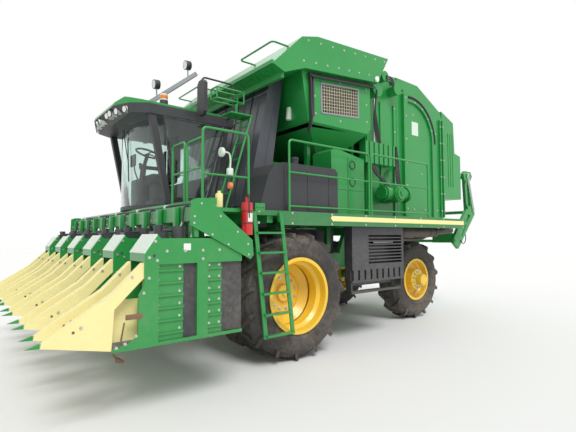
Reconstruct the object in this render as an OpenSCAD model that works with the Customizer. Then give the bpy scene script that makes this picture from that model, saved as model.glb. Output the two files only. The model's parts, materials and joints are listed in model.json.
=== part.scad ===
// Self-propelled cotton harvester with six picking units, a cotton accumulator and a round module builder.
// Millimetres. +X points forward, +Y to the machine's left, Z = 0 is the ground.
// Sub-parts are drawn from the front axle, and front_axle_x then centres the whole machine over the origin.

/* [Wheels] */
// Distance between the front and rear axles
wheelbase = 4090; // [3800:10:4400]
// Outer diameter of a front tyre over its lugs
front_tyre_d = 1880; // [1800:10:1960]
// Outer diameter of a rear tyre over its lugs
rear_tyre_d = 1700; // [1640:10:1760]
// Section width of every tyre
tyre_w = 520; // [480:5:540]
// Flange diameter of a front rim
front_rim_d = 1118; // [1060:1:1140]
// Flange diameter of a rear rim
rear_rim_d = 914; // [860:1:960]
// Distance from the middle plane to the middle of an outer front tyre
front_track_half = 1900; // [1880:5:1920]
// Distance between the middles of two twin front tyres
twin_pitch = 620; // [600:5:640]
// Distance from the middle plane to the middle of a rear tyre
rear_track_half = 1130; // [1110:5:1180]

/* [Frame] */
// Height of the underside of the main rails
rail_z = 1150; // [1100:10:1200]
// Height of a main rail
rail_h = 300; // [240:10:340]
// Thickness of a main rail
rail_w = 110; // [90:5:130]
// Distance from the middle plane to the middle of a main rail
rail_y = 450; // [430:5:470]
// Distance from the middle plane to the outer face of the side platforms
deck_y = 2200; // [2180:5:2240]
// Height of the top of the side platforms
deck_z = 2150; // [2120:5:2180]

/* [Picking head] */
// Number of picking units
units = 6; // [6]
// Distance between two rows
row_pitch = 1000; // [960:5:1040]
// Width of one picking unit
unit_w = 560; // [500:5:600]
// Height of the underside of the raised units
unit_z = 735; // [700:5:760]
// Height of a picking unit
unit_h = 1090; // [1050:5:1120]
// Length of one lift arm between its pins
arm_l = 890; // [860:5:900]

/* [Cab] */
// Width of the cab
cab_w = 1900; // [1800:10:1960]
// Height of the cab floor
cab_z = 2300; // [2280:5:2330]

/* [Cotton accumulator] */
// Width of the accumulator box
box_w = 3560; // [3400:10:3600]
// Width of the hood over the box
hood_w = 3800; // [3700:10:3860]

/* [Module builder] */
// Width between the outer faces of the chamber sides
chamber_w = 2900; // [2800:10:3000]

/* [Hidden] */
$fn = 48;

// Overall reach in front of and behind the front axle, and the shift that centres the machine
nose_x = 3520;
tail_x = -7200;
front_axle_x = -(nose_x + tail_x) / 2;

// Gap that parts on different bodies keep, and the running gap of a pin in its bore
gap = 6;
run = 0.05;
// Gap between a hub's face and the shoulder of its spindle
face_gap = 0.3;

plate = 12;
front_r = front_tyre_d / 2;
rear_r = rear_tyre_d / 2;
front_axle_z = front_r;
rear_axle_z = rear_r;
rear_frame_z = 1830;
rear_frame_h = 200;

green = [0.13, 0.45, 0.18];
yellow = [0.95, 0.85, 0.35];
dark = [0.17, 0.18, 0.20];
steel = [0.65, 0.66, 0.66];
rubber = [0.10, 0.10, 0.10];

// Places a sub-part drawn from the front axle in the part's own frame
module machine() { translate([front_axle_x, 0, 0]) children(); }

// Repeats a left-hand shape on the right-hand side
module both() { children(); mirror([0, 1, 0]) children(); }

// Side profile in X and Z, as thick as from y0 to y1
module side(points, y0, y1) {
    translate([0, y1, 0]) rotate([90, 0, 0]) linear_extrude(y1 - y0) polygon(points);
}

// Cross profile in Y and Z, as long as from x0 to x1
module cross(points, x0, x1) {
    translate([x0, 0, 0]) rotate([90, 0, 90]) linear_extrude(x1 - x0) polygon(points);
}

// Plan profile in X and Y, as high as from z0 to z1
module plan(points, z0, z1) { translate([0, 0, z0]) linear_extrude(z1 - z0) polygon(points); }

// Block between two opposite corners
module block(a, b) {
    translate([min(a.x, b.x), min(a.y, b.y), min(a.z, b.z)])
        cube([abs(b.x - a.x), abs(b.y - a.y), abs(b.z - a.z)]);
}

// Turns +Z into the direction from a to b and moves the origin to a
module aim(a, b) {
    d = b - a;
    translate(a) rotate([0, acos(d.z / norm(d)), atan2(d.y, d.x)]) children();
}

// Closed outline, listed anticlockwise, moved inwards by t
function inset(p, t) = [
    for (i = [0 : len(p) - 1])
        let (
            a = p[(i + len(p) - 1) % len(p)], c = p[(i + 1) % len(p)],
            u = (p[i] - a) / norm(p[i] - a), v = (c - p[i]) / norm(c - p[i]),
            m = [-u.y, u.x], n = [-v.y, v.x]
        )
        p[i] + t * (m + n) / (1 + m * n)
];

// Round bar between two points
module bar(a, b, r) { aim(a, b) cylinder(r = r, h = norm(b - a), $fn = 24); }

function unit(v) = v / norm(v);

// Part of a ring that turns a tube of radius r from direction u to direction v around the point p
module elbow(p, u, v, bend, r) {
    turn = acos(u * v);
    n = unit(cross(u, v));
    w = cross(n, u);
    c = p - u * bend * tan(turn / 2) + w * bend;
    multmatrix([
        [-w.x, u.x, n.x, c.x], [-w.y, u.y, n.y, c.y], [-w.z, u.z, n.z, c.z], [0, 0, 0, 1]
    ])
        rotate_extrude(angle = turn, $fn = 48) translate([bend, 0]) circle(r = r, $fn = 24);
}

// Bent tube through a list of points, with an elbow at each bend
module tube_rail(points, r, bend = 60) {
    last = len(points) - 1;
    dirs = [for (i = [1 : last]) unit(points[i] - points[i - 1])];
    cut = [for (i = [0 : last]) i == 0 || i == last ? 0 : bend * tan(acos(dirs[i - 1] * dirs[i]) / 2)];
    for (i = [1 : last]) bar(points[i - 1] + dirs[i - 1] * cut[i - 1], points[i] - dirs[i - 1] * cut[i], r);
    for (i = [1 : last - 1]) elbow(points[i], dirs[i - 1], dirs[i], bend, r);
}

// Cylinder along Y between two planes
module cyl_y(x, z, y0, y1, r) {
    translate([x, y0, z]) rotate([-90, 0, 0]) cylinder(r = r, h = y1 - y0);
}

// Frame and axles

rail_front_x = 950;
rail_step_x = -2700;
frame_tail_x = -6350;
rail_in = rail_y - rail_w / 2;
rail_out = rail_y + rail_w / 2;
rail_top = rail_z + rail_h;
rear_frame_top = rear_frame_z + rear_frame_h;
lift_pin_x = 850;
lift_pin_z = 1640;
arm_y = 700;
pin_r = 35;

// Front face of the foremost cross member
cross_face = 710;

lug_x = -1090;
lug_r = 20;

module frame_rail() {
    side([
        [rail_front_x, rail_z], [rail_front_x, rail_top], [rail_step_x + 200, rail_top],
        [rail_step_x - 50, rear_frame_top], [frame_tail_x, rear_frame_top],
        [frame_tail_x, rear_frame_z], [rail_step_x - 250, rear_frame_z], [rail_step_x, rail_z]
    ], rail_in, rail_out);
}

// Pair of cheeks that holds a pin, from a side profile, around the plane at y
module cheeks(points, y) {
    for (d = [-cheek_out, cheek_in]) side(points, y + d, y + d + cheek_out - cheek_in);
}

cheek_in = 50;
cheek_out = 70;

// Bracket on the outside of a rail with the pins of a lift arm and of its cylinder
module lift_bracket() {
    cheeks([
        [700, rail_z - 250], [700, lift_pin_z - 60], [lift_pin_x - 60, lift_pin_z + 80],
        [lift_pin_x + 70, lift_pin_z + 80], [lift_pin_x + 70, lift_pin_z - 80],
        [lift_cyl_x + 70, lift_cyl_z + 60], [lift_cyl_x + 70, lift_cyl_z - 100]
    ], arm_y);
    block([700, rail_out, rail_z], [760, arm_y + cheek_out, rail_top]);
    cyl_y(lift_pin_x, lift_pin_z, arm_y - cheek_out, arm_y + cheek_out, pin_r);
    cyl_y(lift_cyl_x, lift_cyl_z, arm_y - cheek_out, arm_y + cheek_out, pin_r);
}

// Bracket in the middle with the pin of the levelling link
module link_bracket() {
    cheeks([
        [cross_face, rail_z + 60], [cross_face, rail_top - 40], [lift_pin_x + 60, lift_pin_z - link_drop + 60],
        [lift_pin_x + 60, lift_pin_z - link_drop - 60]
    ], 0);
    cyl_y(lift_pin_x, lift_pin_z - link_drop, -cheek_out, cheek_out, pin_r);
}

module chassis_frame() {
    color(green) machine() both() {
        frame_rail();
        // Tie-down lug under the rail
        difference() {
            block([lug_x - 50, rail_y - 15, rail_z - 95], [lug_x + 50, rail_y + 15, rail_z]);
            cyl_y(lug_x, rail_z - 45, rail_y - 50, rail_y + 50, lug_r);
        }
    }
}

front_cross_xs = [cross_face - 60, -900, -2650];
rear_cross_xs = [-3300, -4700, frame_tail_x + 60];
low_outrigger_xs = [560, -900, -2100];
high_outrigger_xs = [-3300, -4500];

// Beams between the rails and outside them, each a solid of its own
module cross_members() {
    color(green) machine() {
        for (x = front_cross_xs)
            block([x - 60, -rail_in, rail_z + 40], [x + 60, rail_in, rail_top - 40]);
        for (x = rear_cross_xs)
            block([x - 60, -rail_in, rear_frame_z + 20], [x + 60, rail_in, rear_frame_top - 40]);
        // Arms at the tail with the pins of the rear handler
        both() {
            block([fork_pin_x - 60, rail_out, fork_pin_z - 60], [fork_pin_x + 60, 1035, rear_frame_z + 60]);
            cyl_y(fork_pin_x, fork_pin_z, 1035, 1145, pin_r);
        }
        // Outriggers that carry the side platforms
        both() for (x = low_outrigger_xs)
            block([x - 50, rail_out, rail_z + 60], [x + 50, rail_out + 90, deck_under_z - 100]);
        both() for (x = low_outrigger_xs)
            block([x - 50, rail_in, deck_under_z - 100], [x + 50, deck_y - 60, deck_under_z]);
        both() for (x = high_outrigger_xs)
            block([x - 50, rail_in, rear_frame_top], [x + 50, deck_y - 60, deck_under_z]);
        // Pivot bracket of the rear axle
        both() side([
            [-wheelbase - 260, rear_frame_z], [-wheelbase + 260, rear_frame_z],
            [-wheelbase + 110, rear_axle_z + 140], [-wheelbase - 110, rear_axle_z + 140]
        ], 100, 200);
        block([-wheelbase - 260, -rail_in, rear_frame_z], [-wheelbase + 260, rail_in, rear_frame_z + 60]);
        // Eye for a recovery pin at the tail
        difference() {
            block([frame_tail_x - 150, -70, rear_frame_z + 80], [frame_tail_x, 70, rear_frame_z + 120]);
            translate([frame_tail_x - 90, 0, rear_frame_z]) cylinder(r = lug_r, h = 200);
        }
    }
}

// Brackets at the front of the rails with the pins of the lift linkage
module lift_brackets() {
    color(green) machine() {
        both() lift_bracket();
        link_bracket();
    }
}

// Side plates that carry the cab
module cab_bearers() {
    color(green) machine() {
        both() side([
            [700, rail_top], [900, rail_top], [1500, 2060], [1750, 2130], [1750, cab_z - 60],
            [700, cab_z - 60]
        ], 300, 420);
        block([720, -300, cab_z - 180], [800, 300, cab_z - 60]);
    }
}

deck_under_z = deck_z - 50;
spindle_r = 150;
hub_in = 1080;

module front_axle() {
    color(green) machine() {
        block([-170, -820, front_axle_z - 170], [170, 820, rail_z]);
        both() {
            cyl_y(0, front_axle_z, 820, hub_in - face_gap, 240);
            cyl_y(0, front_axle_z, hub_in - face_gap, hub_in + 180, spindle_r);
        }
    }
}

kingpin_y = 680;
kingpin_r = 40;
knuckle_h = 240;

module rear_axle() {
    color(green) machine() translate([-wheelbase, 0, rear_axle_z]) {
        block([-110, -560, -110], [110, 560, 140]);
        both() {
            for (s = [-1, 1])
                translate([0, kingpin_y, s * (knuckle_h / 2 + 35)]) {
                    translate([0, 0, -32]) cylinder(r = 90, h = 64);
                    block([-80, -140, -32], [80, 0, 32]);
                }
            translate([0, kingpin_y, -knuckle_h / 2 - 10]) cylinder(r = kingpin_r, h = knuckle_h + 20);
        }
        // Steering cylinder fixed behind the axle beam
        translate([-175, 0, 40]) cyl_y(0, 0, -260, 260, 45);
        translate([-175, 0, 40]) cyl_y(0, 0, -400, 400, 22);
        for (y = [-200, 200]) block([-150, y - 25, 10], [-100, y + 25, 70]);
    }
}

module knuckle_shape() {
    translate([-wheelbase, 0, rear_axle_z]) difference() {
        union() {
            translate([0, kingpin_y, -knuckle_h / 2]) cylinder(r = 85, h = knuckle_h);
            cyl_y(0, 0, kingpin_y, rear_hub_in - face_gap, 110);
            cyl_y(0, 0, rear_hub_in - face_gap, rear_hub_in + 150, 80);
        }
        translate([0, kingpin_y, -knuckle_h]) cylinder(r = kingpin_r + run, h = 2 * knuckle_h);
    }
}

rear_hub_in = 880;

module knuckle_left() { color(green) machine() knuckle_shape(); }
module knuckle_right() { color(green) machine() mirror([0, 1, 0]) knuckle_shape(); }

// Engine between the rails, carried on four feet
module engine_block() {
    color(dark) machine() {
        block([-2500, -rail_in + 60, 1100], [-1200, rail_in - 60, 1950]);
        both() for (x = [-2350, -1400])
            block([x - 60, rail_in - 60, 1250], [x + 60, rail_in, 1350]);
    }
}

// Wheels

// Ring around the Y axis from pairs of radius and place along the axle
module ring_y(points, sides = 72) { rotate([-90, 0, 0]) rotate_extrude($fn = sides) polygon(points); }

// Half of a tyre's section, from its bead to its shoulder: radius and half width
function tyre_half(flange_r, bead, out_r, w) = [
    [flange_r - seat_drop + 0.3, bead], [flange_r + 8, bead], [flange_r + 60, 0.47 * w], [(flange_r + out_r) / 2 + 20, 0.5 * w],
    [out_r - lug_h - 70, 0.46 * w], [out_r - lug_h, 0.3 * w]
];

lug_h = 42;
tyre_sides = 40;

// Outline of one lug seen from outside: along the tread, and across it to the shoulder
function lug_plan(w) = [
    [-28, -22], [28, -22], [70, 0.12 * w], [200, 0.47 * w], [140, 0.47 * w], [10, 0.12 * w]
];

module tyre(flange_r, rim_w, out_r, w, lugs) {
    half = tyre_half(flange_r, rim_w / 2 - 24, out_r, w);
    back = [for (i = [len(half) - 1 : -1 : 0]) [half[i].x, -half[i].y]];
    ring_y(concat(half, back), tyre_sides);
    intersection() {
        ring_y([
            [out_r - 150, -0.46 * w], [out_r - 22, -0.46 * w], [out_r, -0.3 * w], [out_r, 0.3 * w],
            [out_r - 22, 0.46 * w], [out_r - 150, 0.46 * w]
        ], tyre_sides);
        for (i = [0 : lugs - 1], s = [-1, 1])
            rotate([0, (i + s / 4) * 360 / lugs, 0]) translate([0, 0, -out_r - 10])
                linear_extrude(lug_h + 120) polygon([for (q = lug_plan(w)) [q.x, s * q.y]]);
    }
}

// Rim shell with its flanges and drop centre
module rim_shell(flange_r, w) {
    h = w / 2;
    seat = flange_r - seat_drop;
    ring_y([
        [flange_r, -h], [flange_r, -h + 14], [seat, -h + 22], [seat, -h + 120],
        [flange_r - 90, -h + 165], [flange_r - 90, h - 165], [seat, h - 120],
        [seat, h - 22], [flange_r, h - 14], [flange_r, h], [flange_r - 50, h],
        [flange_r - 56, h - 116], [flange_r - 104, h - 160], [flange_r - 104, -h + 160],
        [flange_r - 56, -h + 116], [flange_r - 50, -h]
    ]);
}

front_lugs = 15;
rear_lugs = 14;
seat_drop = 38;
rear_rim_w = 440;
rim_w = 478;
front_rim_r = front_rim_d / 2;
rear_rim_r = rear_rim_d / 2;
inner_y = front_track_half - twin_pitch;

module rim_front_shape() {
    translate([0, front_track_half, front_axle_z]) rim_shell(front_rim_r, rim_w);
    translate([0, inner_y, front_axle_z]) rim_shell(front_rim_r, rim_w);
    translate([0, 0, front_axle_z]) difference() {
        union() {
            // Outer disc, dished towards the machine
            ring_y([
                [130, 1695], [300, 1695], [360, 1660], [front_rim_r - 95, 1760],
                [front_rim_r - 95, 1776], [352, 1678], [300, 1712], [130, 1712]
            ]);
            // Spacer drum between the twin wheels
            ring_y([[235, 1270], [260, 1270], [260, 1700], [235, 1700]]);
            // Inner disc and hub
            ring_y([
                [spindle_r + run, hub_in], [230, hub_in], [260, 1250], [front_rim_r - 95, 1250],
                [front_rim_r - 95, 1270], [spindle_r + run, 1270]
            ]);
        }
    }
}

module tyre_front_shape() {
    for (y = [front_track_half, inner_y])
        translate([0, y, front_axle_z]) tyre(front_rim_r, rim_w, front_r, tyre_w, front_lugs);
}

module rim_rear_shape() {
    translate([-wheelbase, 0, rear_axle_z]) {
        translate([0, rear_track_half - 10, 0]) rim_shell(rear_rim_r, rear_rim_w);
        ring_y([
            [80 + run, rear_hub_in], [210, rear_hub_in], [230, 1100], [rear_rim_r - 95, 1140],
            [rear_rim_r - 95, 1160], [235, 1130], [225, 1360], [120, 1400], [0, 1400], [0, 1300],
            [80 + run, 1300]
        ]);
    }
}

module tyre_rear_shape() {
    translate([-wheelbase, rear_track_half - 10, rear_axle_z]) tyre(rear_rim_r, rear_rim_w, rear_r, tyre_w, rear_lugs);
}

module rim_front_left() { color(yellow) machine() rim_front_shape(); }
module rim_front_right() { color(yellow) machine() mirror([0, 1, 0]) rim_front_shape(); }
module tyre_front_left() { color(rubber) machine() tyre_front_shape(); }
module tyre_front_right() { color(rubber) machine() mirror([0, 1, 0]) tyre_front_shape(); }
module rim_rear_left() { color(yellow) machine() rim_rear_shape(); }
module rim_rear_right() { color(yellow) machine() mirror([0, 1, 0]) rim_rear_shape(); }
module tyre_rear_left() { color(rubber) machine() tyre_rear_shape(); }
module tyre_rear_right() { color(rubber) machine() mirror([0, 1, 0]) tyre_rear_shape(); }

// Platforms, rails and what stands on them

chamber_y = chamber_w / 2;
deck_front_x = 850;
deck_rear_x = -4650;
deck_in = chamber_y;
fascia_h = 200;
fascia_t = 50;
ladder_x0 = 330;
ladder_x1 = 880;
rail_r = 17;
rail_line = deck_y - fascia_t - rail_r - 1;

module platforms() {
    color(green) machine() both() difference() {
        union() {
            block([deck_rear_x, deck_in, deck_under_z], [deck_front_x, deck_y, deck_z]);
            block([deck_rear_x, deck_y - fascia_t, deck_z - fascia_h + 20], [deck_front_x, deck_y, deck_z + 20]);
        }
        block([ladder_x0 + 40, deck_y - 300, deck_z - fascia_h], [ladder_x1 - 40, deck_y + 1, deck_under_z]);
    }
}

// Rail frame along the edge of the deck from x0 back to x1
module deck_frame(x0, x1, y, top) {
    tube_rail([[x0, y, deck_z], [x0, y, top], [x1, y, top], [x1, y, deck_z]], rail_r);
    for (z = [deck_z + 100, (deck_z + top) / 2 + 60]) bar([x0, y, z], [x1, y, z], rail_r - 3);
}

module deck_rails() {
    color(green) machine() both() {
        deck_frame(200, -1575, rail_line, 3230);
        deck_frame(-1630, -3370, rail_line, 3240);
    }
}

rung_zs = [470, 757, 1039, 1318, 1589, 1856];
ladder_y = 2245;

module front_ladder() {
    color(green) machine() {
        for (s = [0, 1]) {
            top = [ladder_x1 + 10 - 450 * s, ladder_y, deck_z - 60];
            foot = [ladder_x1 - 175 - 468 * s, ladder_y, 440];
            aim(foot, top) translate([-30, -10, 0]) cube([60, 20, norm(top - foot)]);
            block([top.x - 30, deck_y - 40 + 40 * s, deck_z - 140], [top.x + 30, ladder_y, deck_z - 10]);
        }
        for (z = rung_zs) {
            f = (z - 440) / (deck_z - 500);
            x0 = ladder_x1 - 175 + 185 * f;
            x1 = x0 - 468 + 18 * f;
            block([x1, ladder_y - 10, z - 14], [x0, ladder_y + 50, z + 14]);
        }
    }
}

landing_x1 = 1620;
landing_z = 2180;
landing_in = 1010;

module landing() {
    color(green) machine() {
        block([deck_front_x, landing_in, landing_z - 50], [landing_x1, deck_y - 40, landing_z]);
        // Bearers from the cab's side plates
        for (x = [deck_front_x, 1300]) block([x, 420, landing_z - 150], [x + 50, deck_y - 60, landing_z - 50]);
        block([landing_x1 - 50, landing_in, landing_z - 150], [landing_x1, deck_y - 40, landing_z - 50]);
    }
}

module landing_rails() {
    color(green) machine() {
        x = landing_x1 - 25;
        y = rail_line;
        tube_rail([
            [x, y, landing_z], [x, y, 3190], [910, y, 3190], [910, y, landing_z]
        ], rail_r);
        tube_rail([[x, y, 3060], [x, 1700, 3060], [x, 1700, landing_z]], rail_r - 1);
        tube_rail([[x, 1620, landing_z], [x, 1620, 3090], [x, 1230, 3090], [x, 1230, landing_z]], rail_r);
        bar([x, 1620, 2680], [x, 1230, 2680], rail_r - 3);
        bar([x, y, 2600], [910, y, 2600], rail_r - 3);
        // Ladder to the roof, as steep as the door's hinge bar, with its tie to the roof
        for (y = [1240, 1500]) bar([900, y, landing_z + 5], [446, y, 3660], rail_r - 1);
        for (z = [2450, 2720, 2990, 3260, 3530])
            bar([900 - (z - landing_z) * 454 / 1480, 1240, z], [900 - (z - landing_z) * 454 / 1480, 1500, z], 12);
        bar([450, 1500, 3650], [450, roof_half, 3650], 13);
        bar([x, 1700, 2680], [x, y, 2680], rail_r - 3);
    }
}

shield_x0 = -1230;
shield_x1 = -2650;

module side_shields() {
    color(dark) machine() both() difference() {
        union() {
            block([shield_x1, 1860, 1020], [shield_x0, 2040, deck_under_z - 100]);
            side([[shield_x0, 1020], [shield_x1, 1020], [shield_x1 + 60, 830], [shield_x0 - 20, 830]], 1880, 2000);
        }
        block([shield_x1 + 40, 1800, 870], [shield_x0 - 40, 2000, deck_under_z - 140]);
        for (i = [0 : 8])
            block([shield_x1 + 110 + i * 160, 1990, 1060], [shield_x1 + 160 + i * 160, 2050, 1230]);
        for (i = [0 : 8])
            block([shield_x1 + 60, 1990, 1330 + i * 58], [shield_x0 - 420, 2050, 1366 + i * 58]);
    }
}

module exhaust() {
    color([0.35, 0.34, 0.34]) machine() {
        bar([-2700, 1750, 1880], [-4200, 1750, 1900], 110);
        bar([-4200, 1750, 1900], [-4750, 1800, 1940], 70);
        for (x = [-2950, -3900]) block([x - 25, 1730, 1980], [x + 25, 1770, deck_under_z]);
    }
}

module fluid_tanks() {
    color(dark) machine() both() {
        side([
            [700, deck_z], [520, 2700], [400, 2860], [250, 2900], [-820, 2900], [-880, 2840], [-880, deck_z]
        ], deck_in + 50, 2060);
        translate([-100, 1900, 2880]) cylinder(r = 55, h = 110);
    }
}

module service_boxes() {
    color(green) machine() both() side([
        [-890, deck_z], [-890, 3240], [-1000, 3300], [-1720, 3180], [-1720, deck_z]
    ], deck_in, 1900);
}

// Cab

cab_y = cab_w / 2;
cab_roof_z = 3600;
hinge_foot = [955, cab_y + 22, cab_z + 70];
hinge_head = [590, cab_y + 22, cab_roof_z - 40];
bow_x = 530;
bow_r = 1330;
floor_x1 = 950;

module cab_body() {
    color(dark) machine() {
        // Floor pan
        intersection() {
            block([floor_x1 - 60, -cab_y + 20, cab_z - 60], [2000, cab_y - 20, cab_z]);
            translate([bow_x, 0, 0]) cylinder(r = bow_r + 10, h = 4000, $fn = 96);
        }
        both() {
            // Front pillar, leaning forward
            side([[1480, cab_z], [1570, cab_z], [1840, cab_roof_z], [1740, cab_roof_z]], cab_y - 80, cab_y);
            // Rear pillar, leaning back
            side([[floor_x1 - 60, cab_z], [floor_x1, cab_z], [580, cab_roof_z], [500, cab_roof_z]], cab_y - 80, cab_y);
            block([floor_x1, cab_y - 60, cab_z], [1480, cab_y - 20, cab_z + 60]);
        }
        // Stubs that the door's hinge bar turns between
        aim(hinge_foot, hinge_head) for (z = [-40, norm(hinge_head - hinge_foot) + 0.3])
            translate([0, 0, z]) cylinder(r = 14, h = z < 0 ? 39.7 : 22);
        block([hinge_foot.x - 40, cab_y, hinge_foot.z - 36], [hinge_foot.x + 20, cab_y + 22, hinge_foot.z - 8]);
        block([hinge_head.x - 35, cab_y, hinge_head.z + 6], [hinge_head.x + 4, cab_y + 22, hinge_head.z + 24]);
        // Rear wall up to the window
        side([[floor_x1 - 60, cab_z], [floor_x1 - 30, cab_z], [floor_x1 - 210, 2800], [floor_x1 - 240, 2800]], -cab_y + 80, cab_y - 80);
        block([500, -cab_y + 80, cab_roof_z - 60], [560, cab_y - 80, cab_roof_z]);
    }
}

crown_r = 3200;
roof_crown = 3925;
roof_half = cab_y + 20;
trim_top = 3745;
roof_plan = [
    [430, -roof_half], [1850, -roof_half], [2080, -800], [2235, -450], [2235, 450], [2080, 800],
    [1850, roof_half], [430, roof_half]
];

// Crowned cap of the roof
module cab_roof() {
    color(green) machine() intersection() {
        side([
            [430, trim_top], [430, 3800], [1000, 3885], [1500, 3925], [1850, 3925], [2080, 3870],
            [2200, 3790], [2215, trim_top]
        ], -roof_half, roof_half);
        translate([400, 0, roof_crown - crown_r]) rotate([0, 90, 0]) cylinder(r = crown_r, h = 1900, $fn = 360);
        plan(roof_plan, 3500, 4000);
    }
}

// Dark trim under the cap, with the seats of the lamps
module roof_trim() {
    color(dark) machine() difference() {
        intersection() {
            side([
                [430, cab_roof_z], [430, trim_top], [2215, trim_top], [2235, 3715], [2130, 3650],
                [2060, cab_roof_z]
            ], -roof_half, roof_half);
            plan(roof_plan, 3500, 4000);
        }
        each_roof_lamp() cylinder(r = roof_lamp_r + 0.3, h = 300);
    }
}

roof_lamp_r = 50;
// Place of each roof lamp on the left half: distance from the middle, and from the front axle
roof_lamp_places = [[180, 2100], [330, 2100], [510, 2060], [700, 2000]];

module each_roof_lamp() {
    both() for (p = roof_lamp_places)
        aim([p.y, p.x, 3678], [p.y + 200, p.x + 60, 3638]) children();
}

module cab_glass() {
    color([0.6, 0.7, 0.7, 0.4]) machine() {
        // Bowed windscreen
        intersection() {
            translate([bow_x, 0, 0]) difference() {
                cylinder(r = bow_r, h = 4000, $fn = 96);
                translate([0, 0, -1]) cylinder(r = bow_r - 8, h = 4002, $fn = 96);
            }
            block([1500, -868, cab_z], [2300, 868, cab_roof_z]);
        }
        side([[1491.5, cab_z + 60], [1739.5, cab_roof_z], [580.5, cab_roof_z], [933.5, cab_z + 60]],
            -cab_y + 20, -cab_y + 28);
        side([[floor_x1 - 212, 2800], [floor_x1 - 220, 2800], [515, cab_roof_z - 60], [523, cab_roof_z - 60]], -cab_y + 80, cab_y - 80);
    }
}

module cab_door() {
    color([0.6, 0.7, 0.7, 0.4]) machine() {
        side([
            [1460, cab_z + 80], [1640, cab_roof_z - 10], [625, cab_roof_z - 10], [603, cab_roof_z - 60],
            [965, cab_z + 80]
        ], cab_y + 5, cab_y + 20);
        bar(hinge_foot, hinge_head, 12);
    }
}

module cab_interior() {
    color(dark) machine() {
        block([1050, -260, cab_z], [1500, 260, cab_z + 380]);
        block([1020, -260, cab_z + 380], [1160, 260, cab_z + 1000]);
        bar([1650, 0, cab_z + 6], [1560, 0, cab_z + 700], 45);
        aim([1560, 0, cab_z + 700], [1500, 0, cab_z + 900]) rotate_extrude() translate([190, 0]) circle(r = 16, $fn = 24);
        aim([1560, 0, cab_z + 700], [1500, 0, cab_z + 900]) block([-180, -20, -10], [180, 20, 10]);
        block([1000, -700, cab_z], [1550, -330, cab_z + 520]);
    }
}

beacon_y = 650;
beacon_z = roof_crown - crown_r + sqrt(crown_r * crown_r - (beacon_y - 20) * (beacon_y - 20)) + 0.3;

module roof_lamps() {
    color(steel) machine() {
        each_roof_lamp() cylinder(r = roof_lamp_r, h = 135);
        // Beacon on the roof
        translate([1500, beacon_y, beacon_z]) cylinder(r = 20, h = 30);
        translate([1500, beacon_y, beacon_z + 20]) cylinder(r = 45, h = 45);
        translate([1500, beacon_y, beacon_z + 60]) cylinder(r = 60, h = 100);
    }
}

mast_foot = [1620, 0, 3950];
mast_head = [780, 300, 4640];

// Square mast with two work lamps on bent brackets
module lamp_mast() {
    color(steel) machine() {
        block([1560, -60, roof_crown + 0.3], [1680, 60, 4000]);
        aim(mast_foot, mast_head) translate([-32, -32, 0]) cube([64, 64, norm(mast_head - mast_foot)]);
        for (t = [0.33, 0.9]) {
            p = mast_foot + t * (mast_head - mast_foot);
            tube_rail([p, p + [60, 0, 0], p + [60, 0, 190]], 12, 30);
            aim(p + [30, 0, 190], p + [130, 0, 180]) cylinder(r = 75, h = 80);
        }
    }
}

// Upright mirrors with a cut corner at each end, on arms from the roof's side
module mirrors() {
    color(dark) machine() both() {
        cross([
            [1060, 3690], [1110, 3640], [1230, 3640], [1280, 3690], [1280, 4130], [1230, 4180],
            [1110, 4180], [1060, 4130]
        ], 1080, 1140);
        tube_rail([[1110, 1160, 4170], [1110, 1160, 4240], [560, 1160, 4240], [560, 1160, 3720], [560, roof_half, 3720]], 14);
    }
}

module fire_extinguisher() {
    color([0.8, 0.1, 0.1]) machine() {
        translate([1005, deck_y + 40, 1830]) cylinder(r = 75, h = 420);
        translate([1005, deck_y + 40, 2250]) cylinder(r = 25, h = 80);
        block([985, deck_y - 40, landing_z - 45], [1025, deck_y + 40, landing_z - 5]);
    }
}

// Air ducts behind the cab, one for each picking unit

// Height of the underside of the hood's lip at x
function hood_under(x) = 4339.7 + (90 - x) * 170 / 420;
duct_pitch = 450;
duct_w = 410;

module air_ducts() {
    color(dark) machine() for (i = [0 : units - 1]) {
        y = (i - (units - 1) / 2) * duct_pitch;
        side([
            [430, 1960], [430, 2250], [-40, hood_under(-40)], [-325, hood_under(-325)], [20, 2250], [20, 1960]
        ], y - duct_w / 2, y + duct_w / 2);
    }
}

// Cotton accumulator: hopper, box and hood

wall = 40;
// Height of the underside of the hood at x, on which the box ends
function hood_floor(x) = 4509.7 + (-330 - x) * 180 / 1820;
box_side = [[-360, hood_floor(-360)], [-2060, hood_floor(-2060)], [-2060, 3810], [-490, 3710]];
hopper_side = [[-490, 3710], [-2060, 3810], [-1600, 3260], [-1200, 3260]];
hopper_foot_y = 1200;
hood_side = [[320, 4430], [-270, 5010], [-620, 5110], [-2470, 5230], [-2150, 4690], [-330, 4510], [90, 4340]];

module hopper(t) {
    intersection() {
        side(t == 0 ? hopper_side : inset(hopper_side, t), -box_w / 2 + t, box_w / 2 - t);
        cross([
            [-box_w / 2 + t, 3840], [-box_w / 2 + t, 3710], [-hopper_foot_y + t, 3250], [hopper_foot_y - t, 3250],
            [box_w / 2 - t, 3710], [box_w / 2 - t, 3840]
        ], -2200, -300);
    }
}

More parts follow.
